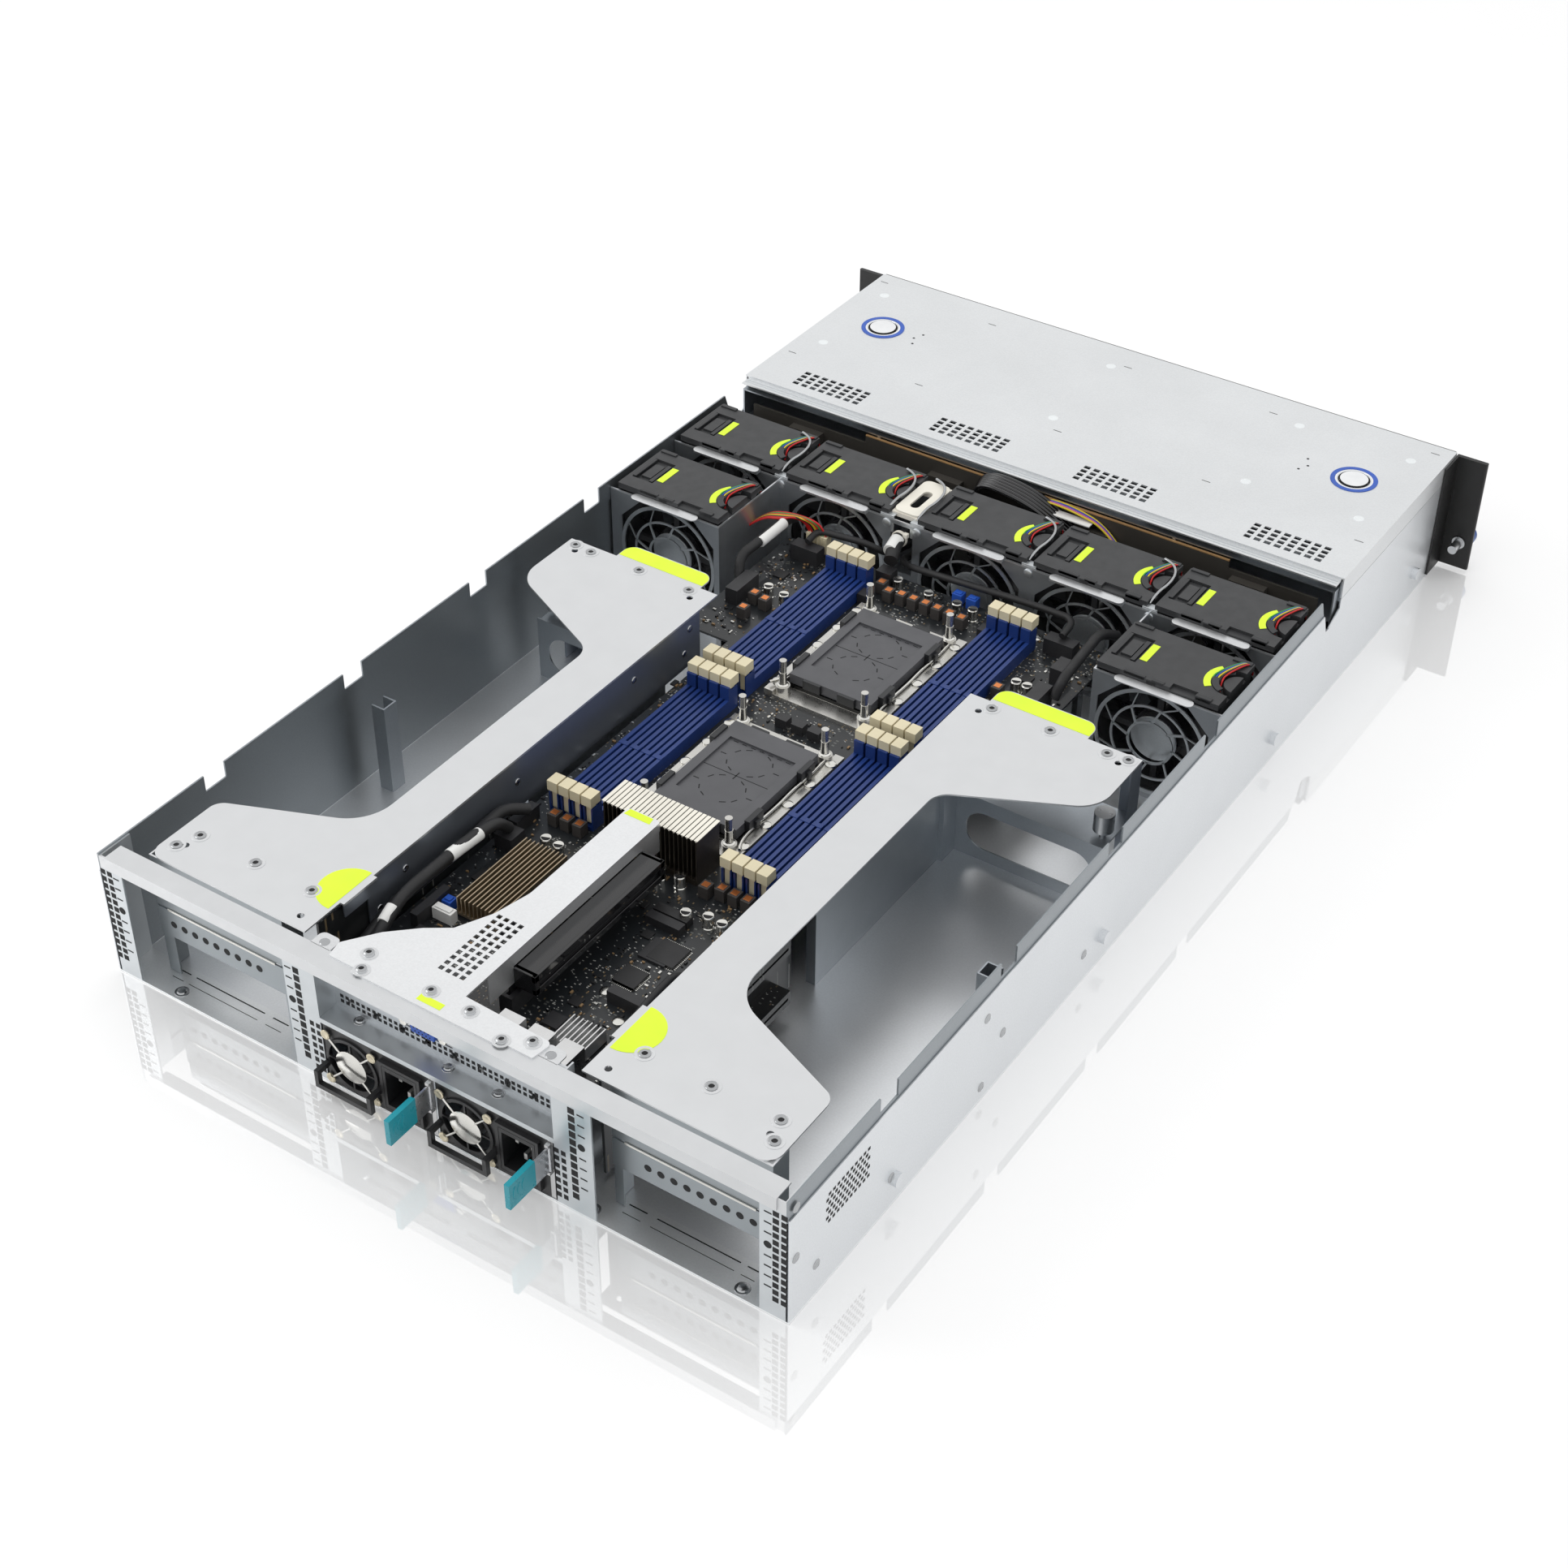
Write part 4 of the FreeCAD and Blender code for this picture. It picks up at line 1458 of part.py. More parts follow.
LEADS = [
    # radius, then the points of the path
    (4.5, ((-150, -190, 62), (32, -190.5, 61), (41.3, -178, 64), (41.3, -120, 68.5), (35, -104, 64.8))),
    (2.2, ((46.5, -188, 48), (46, -150, 49), (46, -118, 58), (58, -112, 65), (92, -108, 64.5),
           (92, -96, 62.2))),
    (2.2, ((38.5, -188, 44), (38.5, -150, 45), (38.5, -114, 57), (-60, -113, 64), (-92, -112, 65),
           (-92, -96, 62.2))),
    (3.2, ((111.7, -48, 54), (115, -54, 66), (112, -104, 68), (116, -118, 60))),
    (3.2, ((-113.7, -48, 54), (-116, -54, 66), (-113, -104, 68), (-118, -118, 60))),
    (3.4, ((72, 232, 60.2), (73, 240, 69), (74, 262, 72), (74, 318, 72), (70, 340, 66), (73, 352, 52))),
    (3.4, ((72, 214, 61.4), (80, 226, 66), (81.5, 262, 62), (81.5, 318, 62), (79, 340, 58), (80, 352, 52.3))),
    (2.2, ((-76, 276, 60), (-76, 284, 66), (-78, 310, 68), (-79.5, 340, 62), (-79.5, 351, 52))),
]


def wiring_harness():
    """Bundled leads between the backplane, the mainboard and the fans, held in place."""
    leads = [shaped(f"Lead{index}", tube(points, radius)) for index, (radius, points) in enumerate(LEADS)]
    node("wiring_harness", group("WiringHarness", leads))


def main():
    """Build every sub-part, test it and write it to its file."""
    builders = (
        chassis_tray, bay_frames, standoffs, rear_frame, front_top_panel, latch_buttons, drive_cage,
        drive_trays, drive_backplane, rack_ears, thumbscrews, fan_partition, fans, motherboard, memory_slots,
        memory_latches, processor_sockets, board_parts, rear_ports, wiring_harness, expansion_cages,
        riser_cards, centre_riser, power_supplies,
    )
    for build in builders:
        build()
    doc.recompute()
    for item in doc.Objects:
        if {"Invalid", "Error"} & set(item.State):
            raise RuntimeError(f"{item.Name} did not compute")
    os.makedirs("parts", exist_ok=True)
    for label, item in NODES.items():
        shape = item.Shape
        if shape.isNull() or not shape.isValid():
            raise RuntimeError(f"{label} has no valid shape")
        box = shape.BoundBox
        print(f"{label}: {len(shape.Solids)} solids, {shape.Volume:.0f}, x {box.XMin:.1f} {box.XMax:.1f}, "
              f"y {box.YMin:.1f} {box.YMax:.1f}, z {box.ZMin:.1f} {box.ZMax:.1f}")
        shape.exportStep(f"parts/{label}.step")
    print(f"{len(NODES)} nodes")


main()
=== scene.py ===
"""Looks of the 2U rack server: materials, small fittings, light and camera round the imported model."""
import math
import random

import bmesh
import bpy
from mathutils import Matrix, Vector


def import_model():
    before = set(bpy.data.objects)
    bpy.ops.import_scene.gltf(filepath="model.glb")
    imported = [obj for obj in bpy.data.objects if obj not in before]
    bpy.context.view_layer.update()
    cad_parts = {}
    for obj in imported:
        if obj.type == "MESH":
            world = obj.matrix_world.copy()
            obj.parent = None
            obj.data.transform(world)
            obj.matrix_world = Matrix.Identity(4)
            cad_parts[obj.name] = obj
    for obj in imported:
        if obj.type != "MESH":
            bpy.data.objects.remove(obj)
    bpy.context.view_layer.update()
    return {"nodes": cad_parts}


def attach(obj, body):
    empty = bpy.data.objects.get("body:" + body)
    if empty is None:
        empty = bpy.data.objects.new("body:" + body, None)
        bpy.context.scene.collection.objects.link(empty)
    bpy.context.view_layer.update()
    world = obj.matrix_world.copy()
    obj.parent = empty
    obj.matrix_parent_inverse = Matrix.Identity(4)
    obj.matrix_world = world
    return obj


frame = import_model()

NODES = frame["nodes"]

# Places and sizes in millimetres, in the frame of the part

MM = 0.001
UP = (0, 0, 1)
BACK = (0, 1, 0)
CAGE_MIDDLE = -1.7
SUPPLIES = {"left": 30.9, "right": -44.5}
FANS = {1: (174.5, -152), 2: (91, -152), 3: (-8.4, -152), 4: (-91.6, -152), 5: (-175, -152),
        6: (173.5, -82), 7: (-173.5, -82)}
FAN_AXIS = 41
SOCKET_MIDDLE = -3.8
SOCKETS = {"front": -15.5, "rear": 122.5}
BOARD_TOP = 48.6
CAGE_TOP = 84.0
LID_TOP = 84.0
RISER_TOP = 85.0
COVER_TOP = 86.9
FILM = 0.18
INNER_WALL = 219.4
OUTER_WALL = 220
REAR_FACE = (391.9, 392.08)
EDGE_ANGLE = math.radians(35)


def around(middle, half):
    """Span of a block from its middle and half its size."""
    return (middle - half, middle + half)


def between(first, last):
    """Span of a block from its two ends in any order."""
    return (min(first, last), max(first, last))


def on_board(height):
    """Span of a block that stands on the mainboard."""
    return (BOARD_TOP, BOARD_TOP + height)


# Materials

class Surface:
    """Node material round one Principled shader, in object coordinates of metres."""

    def __init__(self, name, colour, roughness=0.5, metal=0.0, coat=0.0):
        self.material = bpy.data.materials.new(name)
        self.material.use_nodes = True
        self.tree = self.material.node_tree
        self.shader = self.tree.nodes["Principled BSDF"]
        self.shader.inputs["Metallic"].default_value = metal
        self.shader.inputs["Coat Weight"].default_value = coat
        self.shader.inputs["Roughness"].default_value = roughness
        self.colour = self.rgb(colour)
        self.roughness = roughness
        self.place = self.add("ShaderNodeTexCoord").outputs["Object"]
        self.height = None

    def add(self, kind, **settings):
        node = self.tree.nodes.new(kind)
        for name, value in settings.items():
            setattr(node, name, value)
        return node

    def feed(self, socket, value):
        """Link a socket to another one, or set its number."""
        if hasattr(value, "links"):
            self.tree.links.new(value, socket)
        else:
            socket.default_value = value

    def rgb(self, colour):
        node = self.add("ShaderNodeRGB")
        node.outputs[0].default_value = (*colour, 1)
        return node.outputs[0]

    def math(self, operation, first, second=0.0):
        """Result of a sum on two numbers or sockets."""
        node = self.add("ShaderNodeMath", operation=operation)
        self.feed(node.inputs[0], first)
        self.feed(node.inputs[1], second)
        return node.outputs[0]

    def scaled(self, factors):
        node = self.add("ShaderNodeMapping")
        self.feed(node.inputs["Vector"], self.place)
        node.inputs["Scale"].default_value = factors
        return node.outputs[0]

    def noise(self, scale, detail=3.0):
        node = self.add("ShaderNodeTexNoise")
        self.feed(node.inputs["Vector"], self.place)
        node.inputs["Scale"].default_value = scale
        node.inputs["Detail"].default_value = detail
        return node.outputs["Fac"]

    def remap(self, value, low, high, to_low, to_high):
        """Value moved from one range into another."""
        node = self.add("ShaderNodeMapRange")
        self.feed(node.inputs["Value"], value)
        limits = {"From Min": low, "From Max": high, "To Min": to_low, "To Max": to_high}
        for name, number in limits.items():
            node.inputs[name].default_value = number
        return node.outputs["Result"]

    def axes(self):
        node = self.add("ShaderNodeSeparateXYZ")
        self.feed(node.inputs[0], self.place)
        return node.outputs

    def inside(self, x=None, y=None, z=None):
        """1 inside a box given in millimetres, 0 elsewhere."""
        result = None
        for span, output in zip((x, y, z), self.axes()):
            if span is None:
                continue
            above = self.math("GREATER_THAN", output, span[0] * MM)
            below = self.math("LESS_THAN", output, span[1] * MM)
            both = self.math("MULTIPLY", above, below)
            result = both if result is None else self.math("MULTIPLY", result, both)
        return result

    def paint(self, mask, colour):
        """Another colour where the mask is 1."""
        node = self.add("ShaderNodeMix", data_type="RGBA")
        self.feed(node.inputs["Factor"], mask)
        self.feed(node.inputs["A"], self.colour)
        self.feed(node.inputs["B"], self.rgb(colour))
        self.colour = node.outputs["Result"]

    def mottle(self, scale, amount, detail=4.0):
        """Slight change of tone across the surface."""
        tone = self.remap(self.noise(scale, detail), 0.3, 0.7, 1 - amount, 1 + amount)
        node = self.add("ShaderNodeVectorMath", operation="SCALE")
        self.feed(node.inputs[0], self.colour)
        self.feed(node.inputs["Scale"], tone)
        self.colour = node.outputs[0]

    def wear(self, scale, spread):
        """Roughness that varies across the surface."""
        low = max(self.roughness - spread, 0.03)
        rough = self.remap(self.noise(scale, 5), 0.3, 0.7, low, self.roughness + spread)
        self.feed(self.shader.inputs["Roughness"], rough)

    def lift(self, height):
        """Add to the height that the bump follows."""
        self.height = height if self.height is None else self.math("ADD", self.height, height)

    def relief(self, scale, depth, detail=3.0):
        """Fine grain, depth in metres."""
        self.lift(self.math("MULTIPLY", self.noise(scale, detail), depth))

    def done(self):
        """Join colour and bump to the shader."""
        self.feed(self.shader.inputs["Base Color"], self.colour)
        if self.height is not None:
            bump = self.add("ShaderNodeBump")
            bump.inputs["Distance"].default_value = 1.0
            self.feed(bump.inputs["Height"], self.height)
            self.feed(self.shader.inputs["Normal"], bump.outputs[0])
        return self.material


def rolled(look, cloud, spread):
    """Finish of zinc-plated sheet: rolled grain, faint clouding and uneven gloss."""
    look.mottle(14, cloud)
    look.mottle(900, 0.03, 2)
    look.wear(60, spread)
    look.relief(2500, 0.000012, 2)
    return look.done()


def sheet_steel(name, colour, roughness, metal=0.85):
    """Zinc-plated sheet of one tone."""
    return rolled(Surface(name, colour, roughness, metal), 0.025, 0.05)


def chassis_sheet():
    """Zinc-plated sheet with painted shade inside the body, and painted light on its floor and outer sides.
    """
    # The base tone is painted shade for the inside; the outer sides, the floor and its rear strip are
    # painted lighter as light on them.
    look = Surface("chassis_sheet", (0.30, 0.325, 0.345), 0.34, 0.85)
    lit_outside = look.math("GREATER_THAN", look.math("ABSOLUTE", look.axes()[0]), INNER_WALL * MM)
    look.paint(lit_outside, (0.74, 0.76, 0.78))
    look.paint(look.inside(z=(-1, 1.2)), (0.86, 0.88, 0.90))
    look.paint(look.inside(y=(370, 396), z=(-1, 1.2)), (0.90, 0.92, 0.93))
    return rolled(look, 0.02, 0.02)


def moulded(name, colour, roughness=0.45, grain=0.00001, coat=0.0):
    """Moulded plastic with a fine spark-eroded grain."""
    look = Surface(name, colour, roughness, 0, coat)
    look.mottle(40, 0.06)
    look.wear(120, 0.07)
    look.relief(3000, grain, 2)
    return look.done()


def metal(name, colour, roughness=0.25):
    """Plated or polished small metal part."""
    look = Surface(name, colour, roughness, 1)
    look.mottle(80, 0.05)
    look.wear(200, 0.06)
    return look.done()


def circuit_board(name, colour=(0.012, 0.014, 0.016), marks=0.5):
    """Lacquered laminate with rows of tiny parts, pads and pale marks."""
    look = Surface(name, colour, 0.35, 0, 0.25)
    look.mottle(30, 0.15)
    along, across = (1, 1.7, 0.02), (1.8, 1, 0.02)
    for scale, share, tint, stretch in (
            (260, 0.30, (0.10, 0.105, 0.10), along), (420, 0.22, (0.42, 0.42, 0.40), along),
            (330, 0.18, (0.16, 0.12, 0.07), across), (700, 0.12, (0.6, 0.6, 0.58), along)):
        cells = look.add("ShaderNodeTexVoronoi", distance="CHEBYCHEV")
        look.feed(cells.inputs["Vector"], look.scaled(stretch))
        cells.inputs["Scale"].default_value = scale
        cells.inputs["Randomness"].default_value = 0.55
        small = look.math("LESS_THAN", cells.outputs["Distance"], 0.23)
        pick = look.add("ShaderNodeSeparateColor")
        look.feed(pick.inputs[0], cells.outputs["Color"])
        chosen = look.math("LESS_THAN", pick.outputs[0], share * marks * 2)
        patches = look.math("GREATER_THAN", look.noise(22 + scale / 60, 2), 0.5)
        mask = look.math("MULTIPLY", look.math("MULTIPLY", small, chosen), patches)
        look.paint(mask, tint)
        look.lift(mask)
    look.height = look.math("MULTIPLY", look.height, 0.0003)
    look.relief(150, 0.00002)
    return look.done()


def masked(name, base, roughness, zones, metal_base=0.0, cloud=0.06):
    """Plastic or metal whose colour and metalness change from zone to zone of one CAD node."""
    look = Surface(name, base, roughness, metal_base)
    shine = metal_base
    for x, y, z, colour, metallic in zones:
        mask = look.inside(x, y, z)
        look.paint(mask, colour)
        shine = look.math("MAXIMUM", shine, look.math("MULTIPLY", mask, metallic))
    look.feed(look.shader.inputs["Metallic"], shine)
    look.mottle(60, cloud)
    look.wear(150, cloud)
    look.relief(2600, 0.00001, 2)
    return look.done()


TEAL_TONE = (0.01, 0.29, 0.36)


def part_plastic(look, metalness, plastic, tone):
    """Metal but for one zone moulded in plastic."""
    look.paint(plastic, tone)
    shine = look.math("SUBTRACT", metalness, look.math("MULTIPLY", plastic, metalness))
    look.feed(look.shader.inputs["Metallic"], shine)
    look.mottle(60, 0.06)
    look.wear(150, 0.06)
    return look.done()


def lever_look():
    """Steel arm whose rear end is moulded in teal."""
    look = Surface("lever", (0.55, 0.56, 0.58), 0.3)
    return part_plastic(look, 0.9, look.inside(y=(404.4, 430)), TEAL_TONE)


def partition_look():
    """Plated sheet with a painted highlight along its upper edges, and an ivory lift handle."""
    look = Surface("partition", (0.46, 0.485, 0.51), 0.34)
    handle = look.inside((31, 52), (-174, -130), (79.05, 90))
    # Painted highlight: the upper edges are painted lighter.
    look.paint(look.inside(z=(78, 80.1)), (0.66, 0.68, 0.70))
    return part_plastic(look, 0.85, handle, (0.80, 0.76, 0.68))


PLATE = sheet_steel("satin_plate", (0.69, 0.70, 0.71), 0.36)
COVER = sheet_steel("cover_sheet", (0.73, 0.745, 0.755), 0.4)
CHASSIS = chassis_sheet()
# Darker copy of the plated sheet: painted shade for the walls inside the body.
SHADED_SHEET = sheet_steel("shaded_sheet", (0.36, 0.39, 0.42), 0.36)
SHEET = sheet_steel("light_sheet", (0.62, 0.65, 0.67), 0.36)
WELD = sheet_steel("weld_sheen", (0.84, 0.87, 0.88), 0.3, 0.7)
SCREW = metal("screw_steel", (0.42, 0.43, 0.44), 0.22)
NICKEL = metal("nickel", (0.72, 0.71, 0.67), 0.2)
BRASS = metal("pale_brass", (0.62, 0.56, 0.42), 0.3)
CHROME = metal("chrome_button", (0.86, 0.87, 0.88), 0.12)
# Nearly black: painted shade in gaps, holes, slits and recesses, and also the print on capacitor tops and
# the small marks on the cover.
DARK = moulded("dark_gap", (0.006, 0.006, 0.007), 0.7)
BLACK = moulded("black_moulding", (0.018, 0.019, 0.021), 0.38)
LID = moulded("fan_lid", (0.035, 0.036, 0.038), 0.5)
ROTOR = moulded("rotor", (0.02, 0.02, 0.022), 0.3)
CREAM = moulded("cream_moulding", (0.69, 0.62, 0.43), 0.45)
IVORY = moulded("ivory_moulding", (0.80, 0.77, 0.68), 0.5)
BLUE_SLOT = moulded("blue_moulding", (0.011, 0.036, 0.17), 0.38)
BLUE_RING = moulded("blue_ring", (0.02, 0.09, 0.45), 0.4)
LIME = moulded("lime_film", (0.72, 0.94, 0.035), 0.5)
TEAL = moulded("teal_moulding", TEAL_TONE, 0.4)
WHITE = moulded("white_film", (0.8, 0.8, 0.78), 0.5)
SLEEVE = moulded("braided_sleeve", (0.012, 0.012, 0.013), 0.55, 0.00006)
GLOSS_BLACK = moulded("gloss_jacket", (0.008, 0.008, 0.009), 0.16, 0.000004, 0.4)
EAR = moulded("black_coat", (0.006, 0.006, 0.006), 0.45, 0.00002)
BOARD = circuit_board("mainboard_lacquer")
CARD = circuit_board("card_lacquer", (0.012, 0.013, 0.014), 0.25)
CHIP = moulded("chip_package", (0.014, 0.014, 0.015), 0.4)
CERAMIC = moulded("ceramic", (0.25, 0.16, 0.08), 0.5)
CHOKE = moulded("choke_core", (0.05, 0.045, 0.042), 0.6, 0.00003)
ORANGE = metal("choke_winding", (0.8, 0.28, 0.1), 0.4)
WIRE_TONES = ((0.5, 0.01, 0.01), (0.01, 0.01, 0.012), (0.65, 0.5, 0.02), (0.02, 0.06, 0.4),
              (0.02, 0.25, 0.05), (0.45, 0.1, 0.3))
WIRES = [moulded(f"wire_{index}", tone, 0.35) for index, tone in enumerate(WIRE_TONES)]
SLOT_MATERIALS = {
    "screw_steel": (SCREW, NICKEL, BRASS),
    "zinc_steel": (PLATE, SHEET, WELD),
    "black_steel": (EAR,),
    "button_chrome": (CHROME,),
    "tray_black": (DARK,),
    "latch_cream": (LIME, CREAM, IVORY, WHITE),
    "latch_teal": (TEAL,),
    "slot_blue": (BLUE_SLOT, BLUE_RING),
    "board_parts": (CHIP, CERAMIC, CHOKE, ORANGE),
    "cable_jacket": (GLOSS_BLACK, *WIRES)}
SLOTS = {material.name: slot for slot, materials in SLOT_MATERIALS.items() for material in materials}


# Pieces

class Builder:
    """One mesh from simple solids given in millimetres; all are finished together at the end."""
    started = []

    def __init__(self, name, material, bevel=0.15, slot=None, body="chassis"):
        self.mesh = bmesh.new()
        self.bevel = bevel
        self.facts = (name, material, slot, body)
        self.started.append(self)

    def solid(self, points, faces):
        corners = [self.mesh.verts.new(Vector(point) * MM) for point in points]
        for face in faces:
            self.mesh.faces.new([corners[index] for index in face])

    def block(self, x, y, z):
        points = [(a, b, c) for a in x for b in y for c in z]
        ends = ((0, 1, 3, 2), (4, 6, 7, 5))
        self.solid(points, (*ends, (0, 4, 5, 1), (2, 3, 7, 6), (0, 2, 6, 4), (1, 5, 7, 3)))

    def loft(self, near, far):
        """Solid between two outlines of four points."""
        sides = ((0, 4, 5, 1), (1, 5, 6, 2), (2, 6, 7, 3), (3, 7, 4, 0))
        self.solid([*near, *far], ((0, 1, 2, 3), (7, 6, 5, 4), *sides))

    def prism(self, outline, low, high):
        """Outline of x, y pairs, counterclockwise, from a low to a high level."""
        count = len(outline)
        points = [(x, y, low) for x, y in outline] + [(x, y, high) for x, y in outline]
        faces = [tuple(reversed(range(count))), tuple(range(count, 2 * count))]
        faces += [(i, (i + 1) % count, (i + 1) % count + count, i + count) for i in range(count)]
        self.solid(points, faces)

    def frame(self, outer, inner, low, high):
        """Plate with a hole, both outlines counterclockwise."""
        rings = []
        for outline, level in ((outer, low), (outer, high), (inner, low), (inner, high)):
            rings.append([self.mesh.verts.new(Vector((x, y, level)) * MM) for x, y in outline])
        for lower, upper in ((rings[0], rings[1]), (rings[2], rings[3])):
            for index in range(len(lower)):
                after = (index + 1) % len(lower)
                self.mesh.faces.new((lower[index], lower[after], upper[after], upper[index]))
        for first, second in ((rings[0], rings[2]), (rings[1], rings[3])):
            edges = []
            for ring in (first, second):
                for index, corner in enumerate(ring):
                    after = ring[(index + 1) % len(ring)]
                    edge = self.mesh.edges.get((corner, after))
                    edges.append(edge or self.mesh.edges.new((corner, after)))
            bmesh.ops.triangle_fill(self.mesh, use_beauty=True, edges=edges)

    def turned(self, base, axis, profile, sides=24):
        """Solid of revolution: pairs of height and radius along an axis."""
        turn = Vector(UP).rotation_difference(Vector(axis)).to_matrix()
        base = Vector(base)
        rings = []
        for height, radius in profile:
            ring = []
            for index in range(sides):
                angle = math.tau * index / sides
                spot = Vector((radius * math.cos(angle), radius * math.sin(angle), height))
                ring.append(self.mesh.verts.new((base + turn @ spot) * MM))
            rings.append(ring)
        for low, high in zip(rings, rings[1:]):
            for index in range(sides):
                after = (index + 1) % sides
                self.mesh.faces.new((low[index], low[after], high[after], high[index]))
        self.mesh.faces.new(list(reversed(rings[0])))
        self.mesh.faces.new(rings[-1])

    def rod(self, base, axis, radius, length, sides=20):
        self.turned(base, axis, ((0, radius), (length, radius)), sides)

    def ring(self, centre, axis, inner, outer, length, start=0.0, sweep=360.0, sides=40):
        """Flat ring or part of one."""
        turn = Vector(UP).rotation_difference(Vector(axis)).to_matrix()
        centre = Vector(centre)
        whole = sweep >= 360
        steps = sides if whole else max(int(sides * sweep / 360), 3)
        stations = []
        for index in range(steps + (0 if whole else 1)):
            angle = math.radians(start + sweep * index / steps)
            out = Vector((math.cos(angle), math.sin(angle), 0))
            rise = Vector((0, 0, length))
            spots = [out * inner, out * outer, out * outer + rise, out * inner + rise]
            stations.append([self.mesh.verts.new((centre + turn @ spot) * MM) for spot in spots])
        following = stations[1:] + (stations[:1] if whole else [])
        for here, there in zip(stations, following):
            for index in range(4):
                after = (index + 1) % 4
                self.mesh.faces.new((here[index], there[index], there[after], here[after]))
        if not whole:
            self.mesh.faces.new(stations[0])
            self.mesh.faces.new(list(reversed(stations[-1])))

    def finish(self):
        """Make the object, with rounded edges where the bevel isn't 0."""
        name, material, slot, body = self.facts
        bmesh.ops.recalc_face_normals(self.mesh, faces=self.mesh.faces)
        data = bpy.data.meshes.new(name)
        self.mesh.to_mesh(data)
        self.mesh.free()
        data.shade_smooth()
        piece = add_piece(name, data, material, slot, body)
        if self.bevel:
            edge = piece.modifiers.new("edges", "BEVEL")
            edge.width = self.bevel * MM
            edge.segments = 2
            edge.limit_method = "ANGLE"
            edge.angle_limit = EDGE_ANGLE
            edge.harden_normals = True
        else:
            data.set_sharp_from_angle(angle=EDGE_ANGLE)


def add_piece(name, data, material, slot=None, body="chassis"):
    """Object that rides on a body; its slot, the one named or else its material's usual one, is looked up
    but not used.
    """
    piece = bpy.data.objects.new(name, data)
    bpy.context.scene.collection.objects.link(piece)
    data.materials.append(material)
    slot = slot or SLOTS[material.name]
    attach(piece, body)
    return piece


def smooth_line(name, points, radius, material, body="chassis"):
    """Round lead through points in millimetres."""
    curve = bpy.data.curves.new(name, "CURVE")
    curve.dimensions = "3D"
    curve.bevel_depth = radius * MM
    curve.bevel_resolution = 3
    curve.use_fill_caps = True
    line = curve.splines.new("NURBS")
    line.points.add(len(points) - 1)
    for spot, point in zip(line.points, points):
        spot.co = (*(Vector(point) * MM), 1)
    line.order_u = 3
    line.use_endpoint_u = True
    line.resolution_u = 8
    add_piece(name, curve, material, None, body)


def dress(names, material):
    """Give CAD nodes a material."""
    for name in names.split():
        piece = NODES[name]
        if not piece.material_slots:
            piece.data.materials.append(material)
        for place in piece.material_slots:
            place.material = material


# Materials of the CAD nodes

dress("riser_bracket", sheet_steel("riser_plate", (0.80, 0.81, 0.82), 0.36))
# Cage plates: the walls below the top are painted dark as shade; the top keeps the pale plated tone.
dress("gpu_cage_left gpu_cage_right", masked("cage_plate_shaded_walls", (0.69, 0.70, 0.71), 0.36, [
    (None, (-10, 360), (-1, 82.6), (0.30, 0.33, 0.38), 0.85),
    (None, (360, 380), (-1, 82.5), (0.34, 0.37, 0.39), 0.85)], 0.85, 0.015))
dress("front_top_panel", COVER)
dress("chassis_tray", CHASSIS)
dress("bay_frames drive_cage", SHADED_SHEET)
dress("board_standoffs", SCREW)
# Rear sheet: its top band is painted lighter as light falling on it; a thin band at y 378 to 379 is a little
# lighter too.
dress("rear_frame", masked("rear_sheet", (0.60, 0.63, 0.65), 0.34, [
    (None, (380, 394), (75, 90), (0.66, 0.67, 0.68), 0.85),
    (None, (377.9, 379.2), (40, 84), (0.62, 0.64, 0.66), 0.85)], 0.8, 0.03))
dress("rack_ears", EAR)
dress("latch_button_left latch_button_right", CHROME)
dress("motherboard", BOARD)
dress("riser_card_left riser_card_right riser_slot", CARD)
dress("dimm_slots", BLUE_SLOT)
dress("dimm_latches_1 dimm_latches_2 dimm_latches_3 dimm_latches_4", CREAM)
dress("cpu_cover_front cpu_cover_rear", moulded("socket_cover", (0.082, 0.083, 0.09), 0.42))
dress(" ".join(f"drive_tray_{i}" for i in range(1, 9)), BLACK)
dress(" ".join(f"fan_module_{i}" for i in FANS), LID)
dress(" ".join(f"fan_rotor_{i}" for i in FANS), ROTOR)
dress("psu_rotor_left psu_rotor_right", ROTOR)
dress("psu_casing_left psu_casing_right", SHADED_SHEET)
dress("psu_latch_left psu_latch_right", lever_look())
for label, middle in SUPPLIES.items():
    dress(f"psu_face_{label}", masked(f"supply_face_{label}", (0.014, 0.014, 0.015), 0.4, [
        ((middle - 22, middle - 9), (375.8, 388.2), (14, 28), (0.7, 0.7, 0.68), 0.9),
        ((middle - 36.4, middle - 33.6), (391.4, 395), None, (0.6, 0.6, 0.6), 0.9)]))
dress("rear_io_ports", masked("port_shells", (0.68, 0.68, 0.68), 0.3, [], 1.0))
dress("wiring_harness", SLEEVE)
dress("thumbscrews", masked("knobs", (0.55, 0.56, 0.57), 0.3,
                            [(None, (-420, -394.2), None, (0.02, 0.07, 0.25), 0.4)], 1.0))
dress("drive_backplane", masked("backplane", (0.05, 0.046, 0.04), 0.4,
                                [(None, None, (77.2, 79), (0.6, 0.36, 0.16), 0.5)]))
dress("fan_partition", partition_look())
dress("cpu_sockets", masked("socket_plate", (0.62, 0.61, 0.58), 0.28,
                            [((-34, 26.5), (-57.6, 26.6), (50.9, 54), (0.03, 0.03, 0.03), 0.0),
                             ((-34, 26.5), (80.4, 164.6), (50.9, 54), (0.03, 0.03, 0.03), 0.0)], 0.95))
